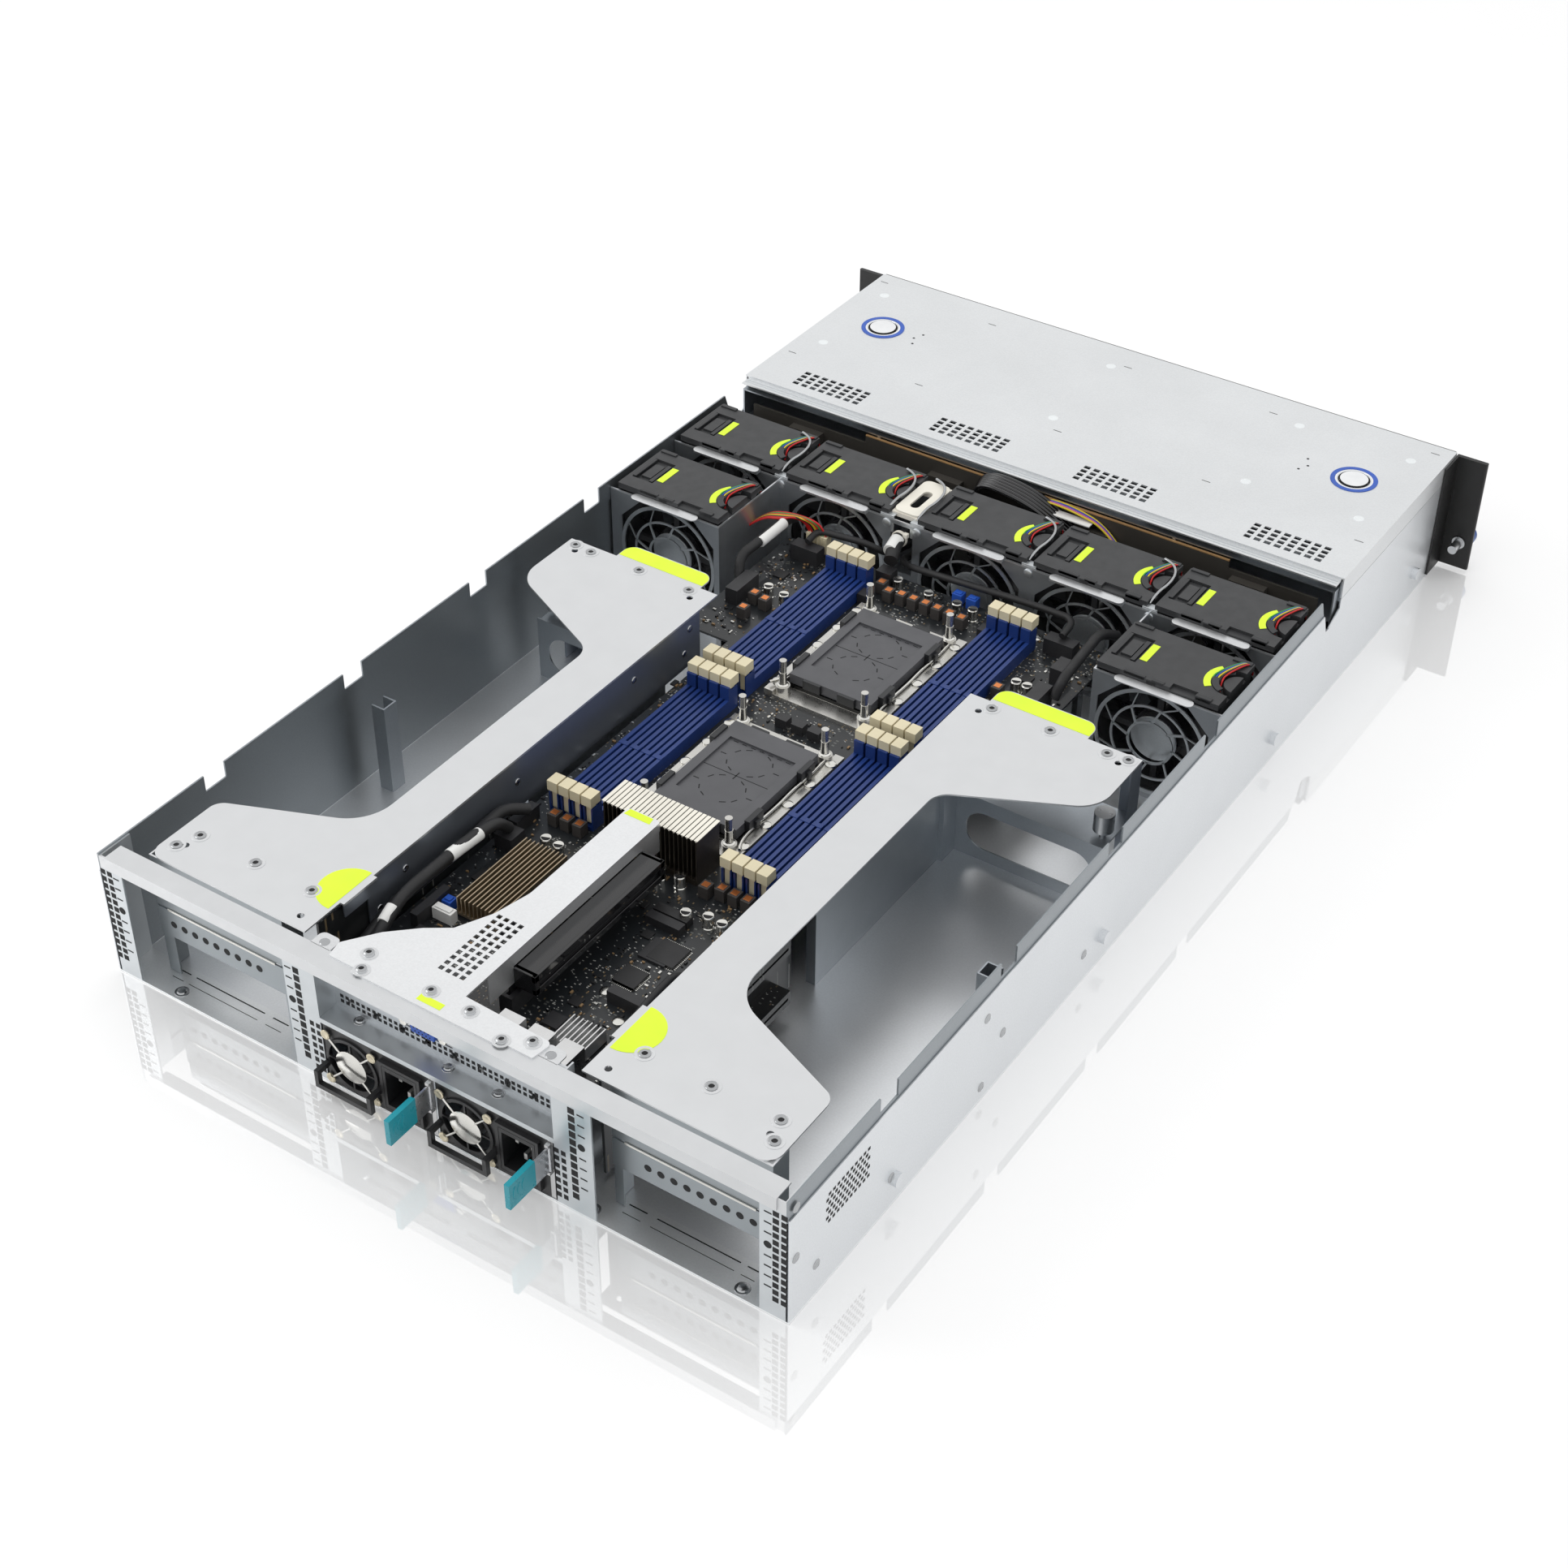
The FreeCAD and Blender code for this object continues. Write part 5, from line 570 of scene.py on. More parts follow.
# Cooler fins: their sides are painted nearly black as shade between the fins, their tops pale cream as light
# on the fin edges.
dress("board_parts", masked("board_parts", (0.022, 0.022, 0.024), 0.42, [
    ((-36, 30), (181, 205), (48, 79.3), (0.10, 0.085, 0.07), 0.9),
    ((-36, 30), (181, 205), (79.3, 82), (0.86, 0.80, 0.70), 0.3),
    ((29, 58), (234, 296), (50, 64), (0.42, 0.34, 0.24), 0.9),
    ((-67, -45), (326, 348), (50, 60), (0.75, 0.75, 0.75), 0.95),
]))


# Expansion cages

CAGE_SCREWS = [(192, 15.6), (179.3, 16.7), (143, 16.2), (105.5, 16.7), (190.7, 363.7), (185.7, 350.8),
               (146, 351), (106.7, 351)]


def arc(centre, radius, start, end, steps):
    """Points along part of a circle."""
    angles = [math.radians(start + (end - start) * index / steps) for index in range(steps + 1)]
    return [(centre[0] + radius * math.cos(a), centre[1] + radius * math.sin(a)) for a in angles]


def both_cages(make):
    """Build a piece for the left cage and its mirror image for the right."""
    for side, sign in (("left", 1), ("right", -1)):
        make(side, lambda place: CAGE_MIDDLE + sign * place)


def flipped(points, at):
    """Outline moved to its cage, kept counterclockwise."""
    moved = [(at(x), y) for x, y in points]
    area = sum(a[0] * b[1] - b[0] * a[1] for a, b in zip(moved, moved[1:] + moved[:1]))
    return moved if area > 0 else moved[::-1]


def screw_head(heads, recess_shade, x, y, z, radius):
    """Low round head, and a dark disc painted as shade at the bottom of its recess."""
    crown = ((0.7, radius * 0.78), (0.7, radius * 0.52), (0.25, radius * 0.42))
    heads.turned((x, y, z), UP, ((0, radius), (0.25, radius), *crown), 20)
    recess_shade.rod((x, y, z + 0.3), UP, radius * 0.44, 0.1, 14)


def cage_details(side, at):
    """Dished screws, lime films and rivets of one expansion cage."""
    body = f"cage_{side}"
    dish = Builder(f"cage_dishes_{side}", PLATE, 0.12, body=body)
    heads = Builder(f"cage_screws_{side}", SCREW, 0.08, body=body)
    recess_shade = Builder(f"cage_screw_recess_shade_{side}", DARK, 0, body=body)
    for x, y in CAGE_SCREWS:
        dish.ring((at(x), y, CAGE_TOP - 0.1), UP, 3.6, 5.2, 0.35)
        screw_head(heads, recess_shade, at(x), y, CAGE_TOP + 0.05, 3.2)
    film = Builder(f"lime_films_{side}", LIME, 0, body=body)
    tab = arc((108, 3.4), 6.6, 180, 270, 6) + arc((157, 3.4), 6.6, 270, 360, 6)
    half_disc = arc((91.5, 340), 17, -90, 90, 20)
    for outline in (tab + [(163.6, 8.6), (101.4, 8.6)], half_disc + [(90.2, 357), (90.2, 323)]):
        film.prism(flipped(outline, at), CAGE_TOP, CAGE_TOP + FILM)
    rivets = Builder(f"panel_rivets_{side}", SCREW, 0.1, body=body)
    inner = at(88.3)
    out = -1 if side == "left" else 1
    for y, z in ((40, 76), (46, 61), (96, 72), (205, 68), (300, 72), (322, 60)):
        rivets.turned((inner, y, z), (out, 0, 0), ((0, 2.4), (0.5, 2.2), (0.9, 1.2)), 16)


# Front cover

BUTTONS = ((178, -322), (-178, -322))
WELDS = ((202.4, -363), (201.2, -281), (20.2, -364), (19.1, -281), (-120.6, -364), (-121.4, -281),
         (-199, -364), (-199.3, -281))
NICKS = ((212.9, -379.8), (116.9, -369), (211, -257), (115.6, -268), (9.7, -369), (8.5, -267.7),
         (-99.2, -369), (-100.4, -266.7), (-208.9, -381), (-210, -257))
PRICKS = ((149.1, -328.8), (152.3, -321.4), (149.1, -314.2),
          (-142.8, -328.7), (-146.4, -320.8), (-142.9, -314))


def front_cover():
    """Button surrounds with a dark ring of painted shade in each gap, weld marks, nicks and front edge of
    the fixed cover, and ribs of its lip.
    """
    rings = Builder("button_rings", BLUE_RING, 0.12, slot="latch_teal")
    gap_shade = Builder("button_gap_shade", DARK, 0)
    white = Builder("button_collars", CHROME, 0.08)
    for x, y in BUTTONS:
        rings.ring((x, y, COVER_TOP + 0.05), UP, 12.2, 15.2, 0.45, sides=64)
        # Painted shade: a dark ring in the gap round each button.
        gap_shade.ring((x, y, COVER_TOP - 0.6), UP, 9.3, 11.4, 0.4, sides=48)
        white.ring((x, y, COVER_TOP), UP, 11.0, 12.2, 0.3, sides=64)
    welds = Builder("weld_marks", WELD, 0)
    for x, y in WELDS:
        welds.turned((x, y, COVER_TOP + 0.09), UP, ((0, 3.4), (0.08, 3.2)), 28)
    nicks = Builder("cover_marks", DARK, 0)
    for x, y in NICKS:
        nicks.block(around(x, 3), around(y, 0.3), (COVER_TOP, COVER_TOP + 0.13))
    for x, y in PRICKS:
        nicks.rod((x, y, COVER_TOP), UP, 0.9, 0.14, 14)
    edge = Builder("front_edge_strip", EAR, 0.2)
    edge.block((-219, 219), (-392.2, -391.0), (82, 86.8))
    ribs = Builder("lip_ribs", SHEET, 0.1)
    for y in (-211.5, -209.2):
        ribs.block((-217, 217), (y, y + 0.7), (85.0, 85.25))


# Fans

# Spans of each block across and along from the fan's middle, and its levels
LID_TRIM = (((33.6, 36.4), (-12, 12), (82.4, 84.6)), ((21.5, 24.5), (-11, 11), (82.4, 83.5)),
            ((-4, 4), (21.2, 24), (82, 84.5)), ((-34, -24), (20.6, 24), (82, 85)),
            ((8, 22), (21.6, 24), (82, 84.5)), ((-38, -26), (-24, -20.5), (83, 85)),
            ((26, 38), (-24, -21), (83, 85)))
# Dark blocks painted as shade in the lid recesses.
LID_RECESSES = (((25.5, 32), (-9, 2), (82.01, 82.15)), ((1, 7), (22.4, 24.02), (81.2, 83.2)))


def blocks_from(build, x, y, spans):
    """Blocks whose spans across and along start from one place."""
    for across, along, levels in spans:
        build.block([x + step for step in across], [y + step for step in along], levels)


def fan_details():
    """Lime marks, raised trim, painted shade in the recesses, wires and rear hub of each fan."""
    for index, (x, y) in FANS.items():
        body = f"fan_{index}"
        marks = Builder(f"lime_marks_{index}", LIME, 0.5, body=body)
        marks.block((x + 14.6, x + 19.4), around(y, 9), (LID_TOP, LID_TOP + 0.35))
        marks.ring((x - 37, y, LID_TOP), UP, 13.4, 17.6, 0.35, -42, 84, 40)
        trim = Builder(f"lid_trim_{index}", BLACK, 0.4, slot="fan_plastic", body=body)
        trim.ring((x - 37, y, 83.2), UP, 8.6, 12.8, 1.5, -70, 140, 44)
        blocks_from(trim, x, y, LID_TRIM)
        lid_shade = Builder(f"lid_recess_shade_{index}", DARK, 0, body=body)
        blocks_from(lid_shade, x, y, LID_RECESSES)
        for number in range(5):
            step = number * 1.5
            points = [(x - 31 + step, y + 5, 79), (x - 29.5 + step, y + 1, 84.5),
                      (x - 31 + step * 0.8, y - 5, 86), (x - 33 + step * 0.7, y - 12, 85.8),
                      (x - 36 + step * 0.5, y - 20, 85.6), (x - 37.5 + step * 0.4, y - 25, 82),
                      (x - 37 + step * 0.4, y - 27, 74)]
            smooth_line(f"fan_wire_{index}_{number}", points, 0.55, WIRES[number], body)
        hub = Builder(f"guard_hub_{index}", SHEET, 0.2, body=body)
        hub.turned((x, y + 19.1, FAN_AXIS), BACK, ((0, 15), (1.1, 15), (1.5, 13.6)), 40)


def finger_guards():
    """Punched spokes and rings in the wall openings behind the fans."""
    for index, (x, y) in FANS.items():
        wall = y + 24.5
        guard = Builder(f"finger_guard_{index}", SHEET, 0)
        for inner, outer in ((13.5, 15), (24.5, 26), (34.2, 36.6)):
            guard.ring((x, wall, FAN_AXIS), BACK, inner, outer, 0.9, sides=56)
        for number in range(8):
            angle = math.tau * number / 8
            side = Vector((math.sin(angle), 0, -math.cos(angle))) * 0.75
            bends = []
            for reach, turn in ((14, angle), (25, angle + 0.2), (35.4, angle + 0.5)):
                bends.append(Vector((x + reach * math.cos(turn), wall, FAN_AXIS + reach * math.sin(turn))))
            for first, last in zip(bends, bends[1:]):
                near = [first - side, first + side, last + side, last - side]
                guard.loft(near, [point + Vector((0, 0.9, 0)) for point in near])


def fan_brackets():
    """Lugs and bent wires at the ends of the fan dividers, clip strips and the strap handle."""
    for number, x in enumerate((133.2, 52.5, 30.4, -50, -133.2)):
        lug = Builder(f"fan_lug_{number}", SHEET, 0.3)
        lug.block(around(x, 5), (-128, -126.8), (69, 80))
        lug.block(around(x, 5), (-132, -126.8), (80, 81))
        lug.turned((x, -126.8, 75), BACK, ((0, 3.2), (0.9, 3.0), (1.4, 1.8)), 20)
        points = [(x + 2, -131, 81.5), (x + 1, -137, 86.2), (x - 1, -150, 86.2), (x + 1, -163, 86),
                  (x + 7, -171, 86), (x + 14, -173.5, 85.6)]
        smooth_line(f"fan_rail_{number}", points, 0.9, SCREW)
    strip = Builder("clip_strips", PLATE, 0.25)
    for x, y in FANS.values():
        outline = arc((x - 22, y + 27.6), 3.4, 90, 270, 8) + arc((x + 22, y + 27.6), 3.4, 270, 450, 8)
        strip.prism(outline, 80.0, 80.9)
    handle = Builder("strap_handle", IVORY, 1.1)
    loop = arc((36.2, -168), 4.6, 180, 270, 6) + arc((46.4, -168), 4.6, 270, 360, 6)
    loop += arc((46.4, -136), 4.6, 0, 90, 6) + arc((36.2, -136), 4.6, 90, 180, 6)
    slot = arc((41.3, -157.6), 3.2, 180, 360, 10) + arc((41.3, -142.4), 3.2, 0, 180, 10)
    handle.frame(loop, slot, 82.0, 83.5)


# Mainboard

CANS = ((2.7, -97.4), (-17.3, -98), (-29, -97.5), (26.5, -99.6), (89.3, -48), (76.3, -45.7), (-88.4, -47.4),
        (-95.8, -47.3), (52.7, 224), (43.3, 225), (-13.6, 208.4), (-26.6, 208.7), (-46.3, 230.9),
        (-58, 226.8), (-67.5, 227.8))
CHOKES = ((16.5, -87.9), (7.8, -87.9), (-0.9, -87.9), (-9.7, -87.5), (-18.6, -87.2), (-27.3, -86.8),
          (33.6, -92.4), (25.2, -86.8), (89.9, -21), (83.9, -36), (92.9, -38), (-81.5, -37.5), (62.4, 203.5),
          (53.8, 203.5), (45.2, 203.5), (-42.3, 206.6), (-50.9, 203.5), (-59.2, 203.5), (-67.5, 203.5))
# Middle across and along, half the width, height
LEGGED_CHIPS = ((-53.4, 256.5, 8.5, 1.6), (-47.5, 282, 7, 1.6))
PLAIN_CHIPS = ((20, 258, 6, 1.2), (-35, 250, 3, 1), (66, 262, 5, 1.2), (-70, 250, 2.5, 1),
               (-35, 312, 3.4, 1.2), (96, -72, 4, 1.2), (-88, -62, 3.5, 1), (60, 344, 4, 1.2))
SMALL_CHIPS = ((18, 216), (22, 232), (-20, 232), (70, 186), (-86, 60), (-86, 100), (84, 60))
BOARD_SCREWS = ((-43.1, 297.6), (70, -102), (-72, -102), (40, 52), (-46, 52), (-30, 345), (20, 345),
                (-62, 312))


def capacitor(build, tops, x, y, radius=3.4, height=8.4):
    """Crimped can with a dark half-moon on top."""
    foot = ((0, radius + 0.3), (0.8, radius + 0.3), (1.2, radius - 0.1), (1.8, radius))
    build.turned((x, y, BOARD_TOP), UP, (*foot, (height - 0.5, radius), (height, radius - 0.4)), 24)
    tops.prism(arc((x, y), radius - 0.7, 20, 200, 10), BOARD_TOP + height, BOARD_TOP + height + 0.08)


def board_details():
    """Capacitors, chokes, chips, headers and screws of the mainboard."""
    cans = Builder("capacitors", NICKEL, 0)
    tops = Builder("capacitor_marks", DARK, 0)
    for x, y in CANS:
        capacitor(cans, tops, x, y)
    cores = Builder("choke_cores", CHOKE, 0.25)
    coils = Builder("choke_windings", ORANGE, 0.12)
    for x, y in CHOKES:
        cores.block(around(x, 3.1), around(y, 3.4), on_board(8))
        coils.block(around(x, 2.0), around(y, 2.0), (BOARD_TOP + 7.9, BOARD_TOP + 8.3))
    chips = Builder("chips", CHIP, 0.15)
    for x, y, half, height in LEGGED_CHIPS + PLAIN_CHIPS:
        chips.block(around(x, half), around(y, half), on_board(height))
    for x, y in SMALL_CHIPS:
        chips.block(around(x, 1.6), around(y, 2.6), on_board(1.2))
    chips.block((-50, -28), (229.4, 235.6), on_board(5.4))
    # Pale strips widen the fin tops: painted light on the fin edges.
    caps = Builder("tower_fin_highlights", IVORY, 0.1, slot="zinc_steel")
    for number in range(22):
        x = -34 + 0.35 + number * 61.3 / 21
        caps.block(around(x, 1.15), (182, 203.5), (80.1, 80.5))
    legs = Builder("chip_legs", NICKEL, 0)
    for x, y, half, _ in LEGGED_CHIPS:
        count = int(half * 2 / 1.1)
        for number in range(count):
            shift = (number - (count - 1) / 2) * 1.1
            for near, far in ((half, half + 1.4), (-half - 1.4, -half)):
                legs.block((x + near, x + far), around(y + shift, 0.25), on_board(0.4))
                legs.block(around(x + shift, 0.25), (y + near, y + far), on_board(0.4))
    small_parts()
    plugs = Builder("blue_headers", BLUE_RING, 0.25)
    for x in (-12.4, -22.5):
        plugs.block(around(x, 3.4), (-112, -106), on_board(7.5))
        plugs.block(around(x, 2.4), (-110, -107), (BOARD_TOP + 7.5, BOARD_TOP + 8.3))
    rings = Builder("board_screws", NICKEL, 0.1)
    for x, y in BOARD_SCREWS:
        rings.turned((x, y, BOARD_TOP), UP, ((0, 3.4), (1.2, 3.2), (1.6, 2.4), (1.7, 0.8)), 20)


TINY_SIZES = ((1.2, 0.6, 0.6), (0.9, 0.5, 0.4), (1.6, 0.9, 0.8), (2.2, 1.2, 0.9))


def small_parts():
    """Scattered tiny parts in even rows round the sockets and chips."""
    random.seed(7)
    pale = Builder("tiny_pale_parts", NICKEL, 0)
    brown = Builder("tiny_brown_parts", CERAMIC, 0)
    dark = Builder("tiny_dark_parts", CHIP, 0)
    zones = (((-118, 116), (-110, -100), 90), ((78, 112), (-100, 0), 130), ((-116, -82), (-100, 0), 130),
             ((-76, 70), (45, 60), 60), ((-76, -26), (206, 350), 240), ((64, 80), (205, 290), 60),
             ((14, 28), (206, 300), 60), ((-20, 28), (205, 222), 50), ((-84, -78), (20, 360), 70),
             ((74, 82), (20, 200), 60), ((-36, 30), (54, 70), 20), ((30, 70), (300, 352), 80))
    for span_x, span_y, count in zones:
        for _ in range(count):
            x = round(random.uniform(*span_x) / 1.7) * 1.7
            y = round(random.uniform(*span_y) / 1.7) * 1.7
            long, wide, high = random.choice(TINY_SIZES)
            if random.random() < 0.5:
                long, wide = wide, long
            choice = random.random()
            build = pale if choice < 0.4 else brown if choice < 0.65 else dark
            build.block(around(x, long / 2), around(y, wide / 2), on_board(high))


def memory_details():
    """Key bridges and end towers of the memory slots."""
    bridges = Builder("slot_bridges", BLUE_SLOT, 0.2)
    for bank in (55.5, -61.3):
        for middle in (-22.4, 127.4):
            for number in range(4):
                x = bank + (number - 1.5) * 7.9
                bridges.block(around(x, 3.25), (middle + 3, middle + 6.5), (57.2, 57.95))
                for end in (-1, 1):
                    y = middle + end * 64
                    bridges.block(around(x, 3.2), between(y - end * 2.6, y + end * 0.2), (57.4, 66.5))


def socket_details():
    """Screws, springs and clips round each processor socket, and slits in its cover."""
    for name, y in SOCKETS.items():
        levers = Builder(f"socket_screws_{name}", NICKEL, 0.12)
        for side in (-1, 1):
            for number in range(5):
                levers.turned((SOCKET_MIDDLE + side * 34 + side * 1.2, y - 44 + number * 22, 53), UP,
                              ((0, 3.4), (1.2, 3.3), (1.8, 2.3), (1.9, 0.7)), 18)
        for along in (1, -1):
            for x in (-32.3, 24.7):
                levers.turned((x, y + along * 48, 55), UP,
                              ((0, 3.6), (1.4, 3.6), (2, 2.4), (10, 2.35), (10.4, 2.5)), 20)
        for side in (-1, 1):
            x = SOCKET_MIDDLE + side * 30.6
            points = [(x, y - 46, 54), (x + side * 1.5, y - 30, 55.4), (x, y - 12, 54.6),
                      (x + side * 1.5, y + 6, 55.4), (x, y + 26, 54.6), (x + side * 2, y + 44, 55.6),
                      (x + side * 6, y + 50, 56)]
            smooth_line(f"socket_spring_{name}_{side + 1}", points, 0.9, NICKEL)
        cover_slits(name, y)
        cover = f"cpu_cover_{name}_body"
        clips = Builder(f"cover_clips_{name}", BLACK, 0.3, slot="cover_plastic", body=cover)
        for side in (-1, 1):
            x = SOCKET_MIDDLE + side * 28.2
            for spot in (-26, 26):
                clips.block(between(x, x + side * 3.6), around(y + spot, 7), (54, 61.5))
                clips.block(between(x, x + side * 5), around(y + spot, 2), (54, 59))
            for span in ((y - 43, y - 40.5), (y + 40.5, y + 43)):
                clips.block(around(SOCKET_MIDDLE + side * 12, 6), span, (54, 60))


def cover_slits(name, y):
    """Dark slits painted as shade: two stars of them, a line across the middle and short slits along both
    ends of a socket cover.
    """
    cover = Builder(f"cover_slits_{name}", DARK, 0, body=f"cpu_cover_{name}_body")
    levels = (58.45, 58.56)
    for spot in (-13.5, 13.5):
        for number in range(12):
            angle = math.tau * number / 12
            reach = 11.5 if number % 3 else 15
            out = Vector((math.cos(angle), math.sin(angle)))
            middle = Vector((SOCKET_MIDDLE + reach * out.x * 1.2, y + spot + reach * out.y))
            along = Vector((-out.y, out.x)) if number % 3 else out
            across = Vector((-along.y, along.x))
            corners = [tuple(middle + along * a * 1.9 + across * b * 0.35)
                       for a, b in ((-1, -1), (1, -1), (1, 1), (-1, 1))]
            cover.prism(corners, *levels)
    cover.block((-26, 18.4), around(y, 0.25), levels)
    for number in range(-3, 4):
        for edge in (-26, 26):
            cover.block(around(SOCKET_MIDDLE + number * 6, 1.6), around(y + edge, 0.3), levels)


# Centre riser

def riser_details():
    """Dished screws, lime films and socket shell of the centre riser."""
    heads = Builder("riser_screws", SCREW, 0.08, body="centre_riser")
    recess_shade = Builder("riser_screw_recess_shade", DARK, 0, body="centre_riser")
    dish = Builder("riser_dishes", PLATE, 0.1, body="centre_riser")
    for x, y in ((47.7, 372), (42.9, 383.3), (4.1, 375.8), (-21, 376.2), (-46.4, 383.5), (-59.7, 376)):
        screw_head(heads, recess_shade, x, y, RISER_TOP + 1.1, 2.9)
        dish.ring((x, y, RISER_TOP - 0.05), UP, 3.4, 4.8, 0.3)
    film = Builder("riser_lime_films", LIME, 0, body="centre_riser")
    film.prism([(-7.6, 205.6), (7.6, 205.6), (8.4, 210.4), (-8.4, 210.4)], RISER_TOP, RISER_TOP + FILM)
    film.prism([(-8, 379.6), (7, 379.6), (7, 384), (-8, 384)], RISER_TOP, RISER_TOP + FILM)
    ridge = Builder("riser_socket_shell", GLOSS_BLACK, 0.35, slot="circuit_board", body="centre_riser")
    ridge.block((-24.6, -12.4), (222.4, 331.6), (75.5, 76.3))
    for levels in ((63.6, 67.4), (72, 76.3)):
        ridge.block((-26.2, -23.8), (221.6, 332.4), levels)
    for y in (221.5, 329):
        ridge.block((-26.2, -12), (y, y + 3.4), (63.6, 76.3))


# Rear end

def column_holes(holes, inner, sign):
    """Dark patches painted as shade for the square holes, short slots and one round hole down the two
    columns beside a card bay.
    """
    def punch(x, z, width, height):
        holes.block(around(x, width / 2), REAR_FACE, around(z, height / 2))

    for row in range(13):
        for x in (217.0, 212.2):
            punch(sign * x, 13 + row * 4.95, 3.5, 3.4)
        if row < 12:
            punch(inner + sign * 3.2, 12 + row * 5.4, 4.0, 4.1)
    for z in (20, 27, 34, 41, 57, 64, 71):
        punch(sign * 207.7, z, 4.2, 0.9)
        punch(inner + sign * 8.8, z, 4.2, 0.9)
    for x in (sign * 207.7, inner + sign * 8.4):
        holes.rod((x, REAR_FACE[0], 49), BACK, 2.3, 0.18)
    for row in range(7):
        for x in (inner - sign * 3.2, inner - sign * 7.4):
            punch(x, 7 + row * 5.2, 2.8, 3.2)


def rear_details():
    """Dark patches painted as shade in punched holes and slots, screw heads and bar lugs of the rear end."""
    holes = Builder("punched_holes", DARK, 0)
    column_holes(holes, 78, 1)
    column_holes(holes, -91, -1)
    for column in range(39):
        for z in (49.4, 53.0):
            x = 64 - column * 3.6
            holes.block(around(x, 1.1), (378.9, 379.08), around(z, 1.1))
    for side in (-1, 1):
        for span in ((113, 124), (130, 180), (184, 192)):
            ends = between(side * span[0], side * span[1])
            holes.block(ends, (373.6, 374.3), (0.95, 1.1))
            holes.block(ends, (379.8, 380.2), (0.95, 1.06))
        for row in range(7):
            for column in range(10):
                y = 324 + column * 3.8 + (row % 2) * 1.9
                z = 42 + row * 3.1
                holes.block(between(side * 219.9, side * 220.08), around(y, 1.1), around(z, 0.95))
    heads = Builder("rear_screws", SCREW, 0.08)
    for x, y in ((178.7, 386.5), (89.2, 386.3), (-100.1, 386.7), (-189.8, 386.8)):
        heads.turned((x, y, 1), UP, ((0, 4.2), (0.4, 4.0), (0.5, 2.9), (1.2, 2.4), (0.9, 0.9)), 24)
    for x, y in ((50, 382), (-9, 383), (-41, 383)):
        heads.turned((x, y, 45.2), UP, ((0, 3.6), (0.3, 3.4), (0.4, 2.6), (1.2, 2.2), (0.9, 0.9)), 24)
    for side in (-1, 1):
        for y, z in ((386.7, 77), (386.8, 42.6), (368.9, 21.1), (301.8, 20.6), (104.8, 19.8), (212, 57),
                     (194, 33), (214, 10)):
            heads.turned((side * OUTER_WALL, y, z), (side, 0, 0),
                         ((0, 3.0), (0.3, 2.8), (0.8, 1.6), (0.6, 0.6)), 20)
    lugs = Builder("bar_lugs", PLATE, 0.15)
    for x in (72.9, -71.7):
        heads.turned((x, 377.2, 84), UP, ((0, 2.9), (0.25, 2.7), (0.5, 1.9), (0.3, 0.7)), 20)
        corners = arc((x - 3, 374.5), 3.5, 180, 270, 5) + arc((x + 3, 374.5), 3.5, 270, 360, 5)
        lugs.prism(corners + [(x + 6.5, 381), (x - 6.5, 381)], 83.1, 84.0)


def socket_insides():
    """Tongues, contact rows and the blue display socket with its nuts."""
    dark = Builder("socket_linings", BLACK, 0.08, slot="tray_black")
    depth = (368, 377.4)
    low, high = 59.2, 71.8
    for x, width in ((56.2, 12), (37.8, 12.7), (-31.7, 13), (-50.5, 13), (-68.5, 12)):
        half = width / 2 - 1.2
        dark.block(around(x, half), (366.2, 368), (low, high))
        dark.block((x - half, x - half + 0.6), depth, (low, high))
        dark.block((x + half - 0.6, x + half), depth, (low, high))
        dark.block(around(x, half), depth, (low, low + 0.7))
        dark.block(around(x, half), depth, (high - 0.7, high))
    for x in (56.2, 37.8):
        for z in (61.6, 69.0):
            dark.block(around(x, 4), (367, 377.6), around(z, 0.9))
        dark.block(around(x, 5), (368, 378.2), (64.9, 66.1))
    blue = Builder("display_socket_core", BLUE_RING, 0.5)
    face = [(-2.6, 66.2), (-0.9, 58.2), (13.9, 58.2), (15.6, 66.2)]
    blue.loft([(x, 374, z) for x, z in face], [(x, 383, z) for x, z in face])
    # Pin holes as dark discs of painted shade.
    pins = Builder("display_socket_holes", DARK, 0)
    for row, z in enumerate((60, 62.2, 64.4)):
        for column in range(5):
            pins.rod((1.6 + column * 2.4 + (row % 2) * 0.8, 382.95, z), BACK, 0.45, 0.15, 10)
    nuts = Builder("display_socket_nuts", NICKEL, 0.15)
    for x in (-6.2, 19.2):
        nuts.turned((x, 378.9, 62), BACK, ((0, 3.0), (3.6, 3.0), (4, 2.6), (3.4, 1.5)), 6)


def slot_cover_details(side, at):
    """Rows of round holes as dark discs of painted shade, and the sprung strip between the two slot covers.
    """
    body = f"cage_{side}"
    holes = Builder(f"cover_holes_{side}", DARK, 0, body=body)
    for z in (59, 39):
        for number in range(9):
            holes.rod((at(126.3 + number * 7.7), 377.2, z), BACK, 2.2, 0.18, 20)
    strip = Builder(f"cover_strips_{side}", NICKEL, 0.2, body=body)
    ends = between(at(113), at(190))
    strip.block(ends, (376.9, 378.2), (48.5, 49.9))
    strip.block(ends, (376.9, 377.8), (69.4, 70.2))


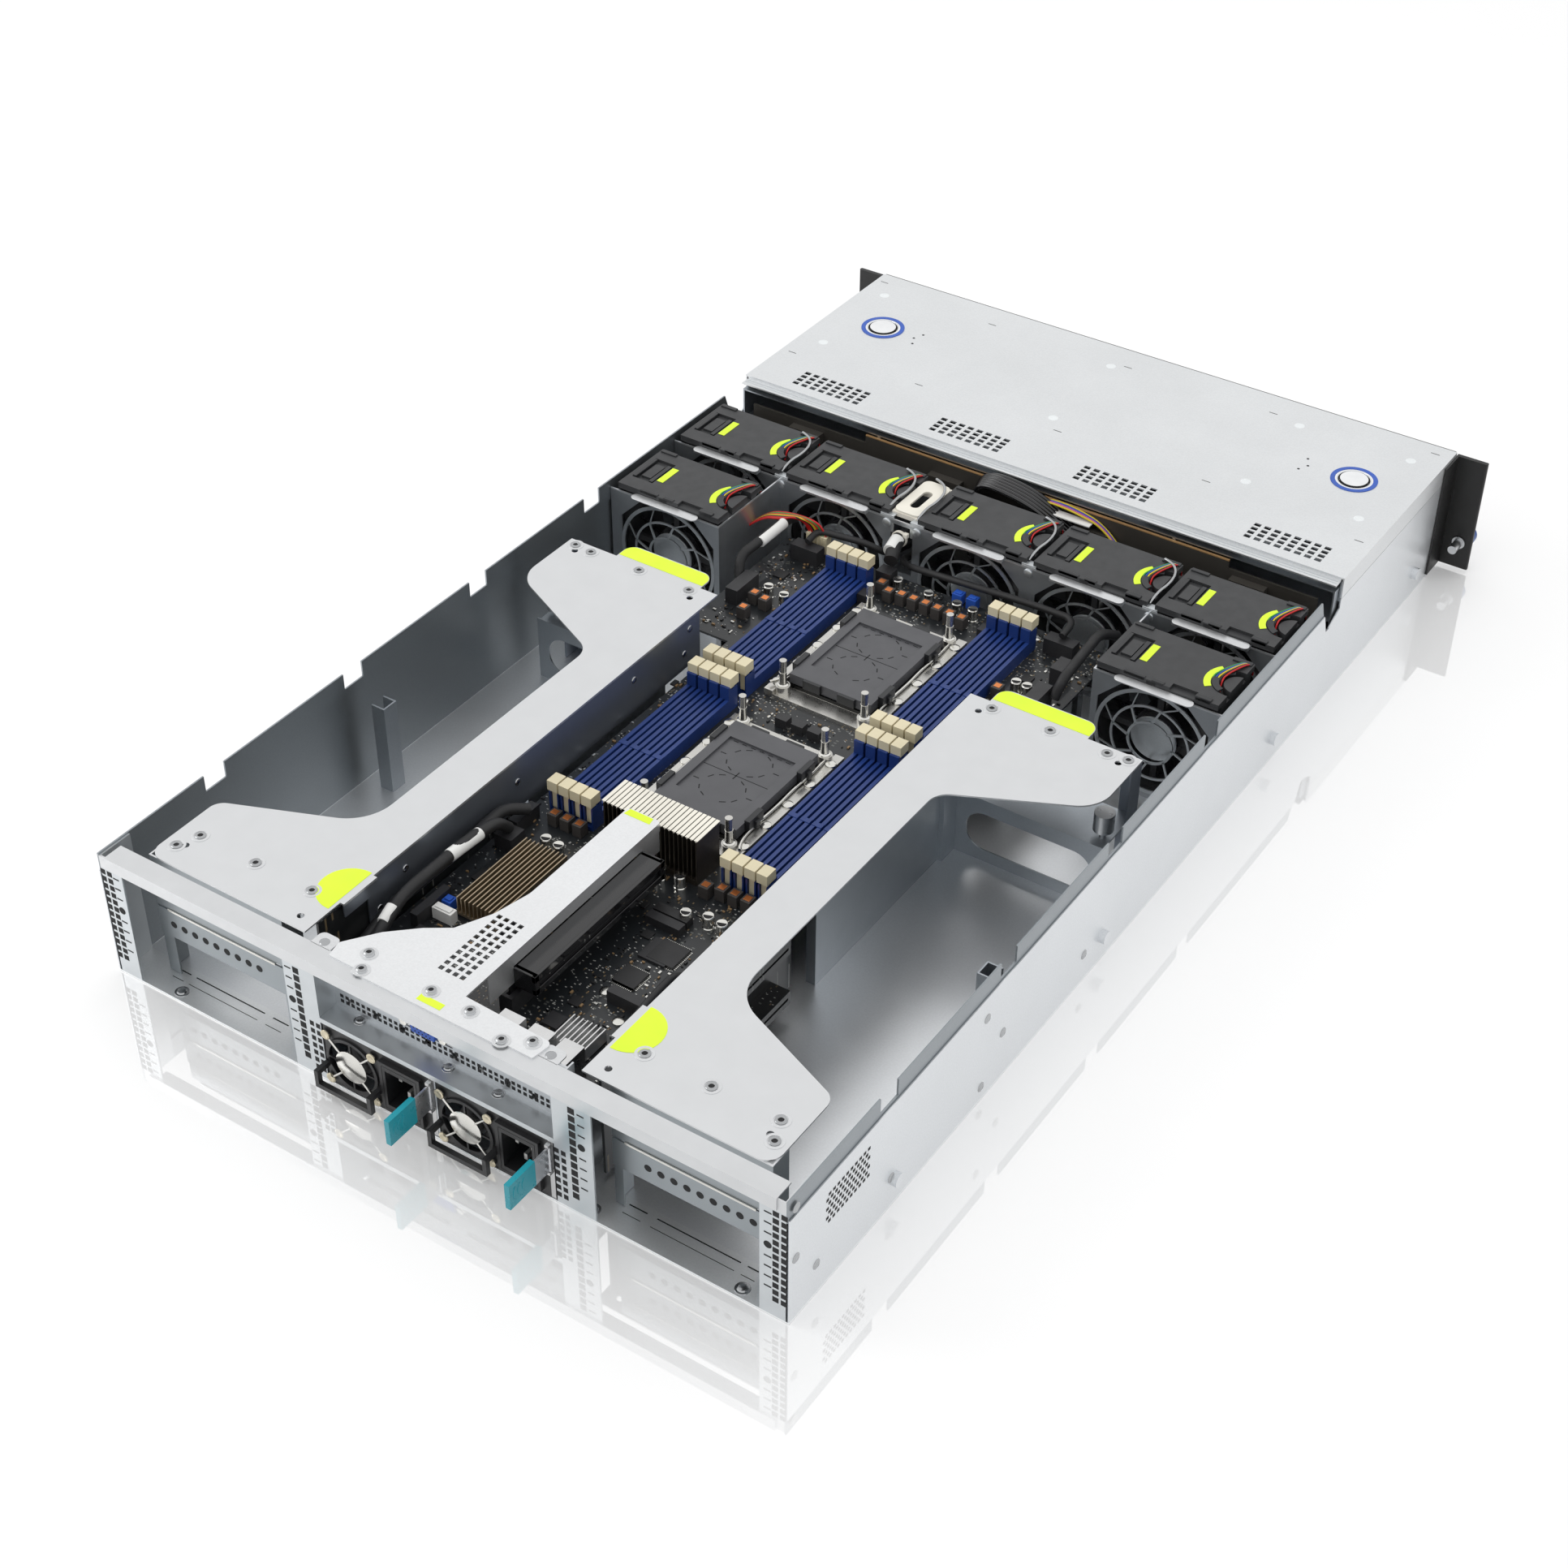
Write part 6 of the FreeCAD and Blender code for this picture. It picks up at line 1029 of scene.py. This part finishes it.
def supply_details():
    """Blank hub disc, crossed wires and corner screws over each supply's fan, and ribs on its lever."""
    for label, middle in SUPPLIES.items():
        body = f"supply_{label}"
        fan = middle + 18.8
        axis = 20.6
        guard = Builder(f"supply_guard_{label}", NICKEL, 0.1, body=body)
        heads = Builder(f"supply_screws_{label}", BRASS, 0.1, body=body)
        guard.turned((fan, 392.5, axis), BACK, ((0, 10.2), (0.5, 10.2), (0.7, 9.9)), 40)
        for across in (-1, 1):
            for up in (-1, 1):
                x, z = fan + across * 15.4, axis + up * 15.4
                guard.rod((fan + across * 6.8, 392.9, axis + up * 6.8), (across, 0, up), 0.65, 12, 10)
                guard.ring((x, 392.5, z), BACK, 1.6, 3.0, 0.8)
                heads.turned((x, 392.9, z), BACK, ((0, 3.1), (0.6, 3.0), (1.0, 2.2), (0.7, 0.8)), 20)
        ribs = Builder(f"lever_ribs_{label}", TEAL, 0.12, body=f"supply_{label}_lever")
        face = middle - 35.5
        for number in range(3):
            ribs.ring((face - 0.25, 408 + number * 3.4, 30.75), (1, 0, 0), 6.4, 7.1, 0.4, 48, 84, 60)


# Leads and plugs

# Base, tip and radius of each sleeve
SLEEVES = (((73.6, 254, 70.6), (74, 279, 72), 3.75), ((73.2, 326, 70.2), (71.6, 336, 67.4), 3.7),
           ((112.8, -73, 66.7), (112.1, -99, 67.6), 3.5), ((41.2, -122, 68.2), (39.2, -110, 67), 4.8))


def lead_details():
    """Blank sleeves and a tie on the leads, loose wires, and small plugs on the board."""
    tags = Builder("blank_labels", WHITE, 0.05)
    for base, tip, radius in SLEEVES:
        axis = Vector(tip) - Vector(base)
        ends = ((axis.length - 0.2, radius), (axis.length, radius - 0.1))
        tags.turned(base, axis, ((0, radius - 0.1), (0.2, radius), *ends), 24)
    tags.block((-55, -26), (-203, -196), (72.6, 73.4))
    tie = Builder("cable_tie", IVORY, 0.2)
    tie.ring((41.3, -125.5, 67.7), (0, 1, 0.1), 4.6, 5.5, 2.2)
    tie.block((35.2, 38.4), (-126, -123), (70.2, 73.2))
    for number in range(6):
        y = -203 + number * 3.1
        points = [(33 - number, y, 60), (30 - number, y, 76), (18, y + 1, 84.6), (0, y + 2, 84.6),
                  (-16, y + 1, 80.5), (-30, y - 2, 72), (-44, y - 4, 62)]
        smooth_line(f"flat_bundle_{number}", points, 1.5, GLOSS_BLACK)
    for number, tint in enumerate((2, 3, 5, 2)):
        points = [(-14, -206 + number, 76), (-28, -205 + number * 1.5, 78.5), (-44, -205 + number * 1.5, 77),
                  (-62, -204 + number, 73), (-72, -203 + number, 64)]
        smooth_line(f"loose_wire_{number}", points, 0.65, WIRES[tint])
    plug = Builder("fan_plug", CREAM, 0.25)
    plug.block((84, 99.4), (-111.6, -105.4), (50, 62))
    for number in range(6):
        x = 85.6 + number * 2.4
        plug.block(around(x, 0.4), (-105.5, -104.8), (52, 61))
    plug.block((86, 97.4), (-112, -111.4), (56, 61))
    for number, tint in enumerate((0, 4, 0, 2, 1, 0, 0)):
        x = 85.6 + number * 2.1
        points = [(x, -108, 61), (x + 2, -107, 68), (x + 9, -106 + number * 0.7, 72.5),
                  (114, -105 + number, 72 - number * 0.4), (127, -101 + number, 69), (136, -96 + number, 60)]
        smooth_line(f"plug_wire_{number}", points, 0.7, WIRES[tint])
    small = Builder("blue_plug", BLUE_RING, 0.25)
    small.block((62, 68), (289, 295), (BOARD_TOP, 55.4))
    small.block((63, 67), (290.2, 293.8), (55.4, 56.4))
    pale = Builder("pale_plug", WHITE, 0.25)
    pale.block((55, 68), (297.4, 303), (BOARD_TOP, 56.2))
    pale.block((56.4, 66.6), (298.4, 302), (56.2, 57))


# Floor, light and camera

FLOOR_HALF = 12
FLOOR_GAP = 0.0002
FLOOR_LIFT = 0.2
FLOOR_GLOSS = 0.3
WORLD_FILL = 0.85


def seen_directly(tree):
    """One for rays from the camera, off metal and through clear parts, zero for light on the object."""
    path = tree.nodes.new("ShaderNodeLightPath")
    result = path.outputs["Is Camera Ray"]
    for kind in ("Is Glossy Ray", "Is Transmission Ray"):
        either = tree.nodes.new("ShaderNodeMath")
        either.operation = "MAXIMUM"
        tree.links.new(result, either.inputs[0])
        tree.links.new(path.outputs[kind], either.inputs[1])
        result = either.outputs[0]
    return result


def studio():
    """Pale floor that shows white to the camera, in metal and through clear parts, and keeps the shadow."""
    look = Surface("pale_floor", (0.86, 0.86, 0.86), 0.55)
    grain = look.add("ShaderNodeTexNoise")
    grain.inputs["Scale"].default_value = 3.0
    look.feed(look.shader.inputs["Base Color"], look.remap(grain.outputs["Fac"], 0, 1, 0.855, 0.865))
    lift = look.math("MULTIPLY", seen_directly(look.tree), FLOOR_LIFT)
    look.shader.inputs["Emission Color"].default_value = (1, 1, 1, 1)
    look.feed(look.shader.inputs["Emission Strength"], lift)
    gloss = look.add("ShaderNodeBsdfGlossy")
    gloss.inputs["Roughness"].default_value = 0.02
    blend = look.add("ShaderNodeMixShader")
    for place, value in enumerate((FLOOR_GLOSS, look.shader.outputs[0], gloss.outputs[0])):
        look.feed(blend.inputs[place], value)
    look.feed(look.tree.nodes["Material Output"].inputs["Surface"], blend.outputs[0])
    mesh = bmesh.new()
    bmesh.ops.create_grid(mesh, x_segments=1, y_segments=1, size=FLOOR_HALF)
    data = bpy.data.meshes.new("studio_floor")
    mesh.to_mesh(data)
    mesh.free()
    data.materials.append(look.material)
    floor = bpy.data.objects.new("studio_floor", data)
    floor.location.z = -FLOOR_GAP
    bpy.context.scene.collection.objects.link(floor)


def world():
    """White to the camera and in reflections, softer as light on the object."""
    sky = bpy.data.worlds.new("studio")
    bpy.context.scene.world = sky
    sky.use_nodes = True
    tree = sky.node_tree
    back = tree.nodes["Background"]
    back.inputs["Color"].default_value = (1, 1, 1, 1)
    strength = tree.nodes.new("ShaderNodeMapRange")
    strength.inputs["To Min"].default_value = WORLD_FILL
    strength.inputs["To Max"].default_value = 1.0
    tree.links.new(seen_directly(tree), strength.inputs["Value"])
    tree.links.new(strength.outputs["Result"], back.inputs["Strength"])


def lamp(name, place, target, size, power, in_metal):
    """Soft lamp; metal may show it or only the white surroundings."""
    light = bpy.data.lights.new(name, "AREA")
    light.shape = "RECTANGLE"
    light.size, light.size_y = size
    light.energy = power
    piece = bpy.data.objects.new(name, light)
    piece.location = place
    piece.visible_glossy = in_metal
    piece.rotation_euler = (Vector(target) - Vector(place)).to_track_quat("-Z", "Y").to_euler()
    bpy.context.scene.collection.objects.link(piece)


def camera():
    """View of the photo, from behind the right rear corner and above."""
    view = bpy.data.cameras.new("camera")
    view.lens = 58.793
    view.sensor_width = 36
    view.clip_start = 0.05
    view.clip_end = 60
    eye = bpy.data.objects.new("camera", view)
    right = (-0.8309343514, -0.5563426643, 0.0055626902)
    down = (-0.3504312356, 0.5155740401, -0.7819087915)
    ahead = (0.4321412417, -0.6516642150, -0.6233680279)
    spot = (-0.65178, 1.050705, 0.955085)
    eye.matrix_world = Matrix([[right[i], -down[i], -ahead[i], spot[i]] for i in range(3)] + [[0, 0, 0, 1]])
    bpy.context.scene.collection.objects.link(eye)
    bpy.context.scene.camera = eye


both_cages(cage_details)
front_cover()
fan_details()
finger_guards()
fan_brackets()
board_details()
memory_details()
socket_details()
riser_details()
rear_details()
socket_insides()
both_cages(slot_cover_details)
supply_details()
lead_details()
for build in Builder.started:
    build.finish()
studio()
world()
lamp("overhead", (0.1, 0.1, 2.4), (0, 0, 0), (2.2, 2.2), 15, False)
lamp("side", (1.9, 1.0, 1.5), (0, 0, 0.05), (1.2, 1.2), 9, True)
camera()
bpy.context.scene.view_settings.view_transform = "Standard"
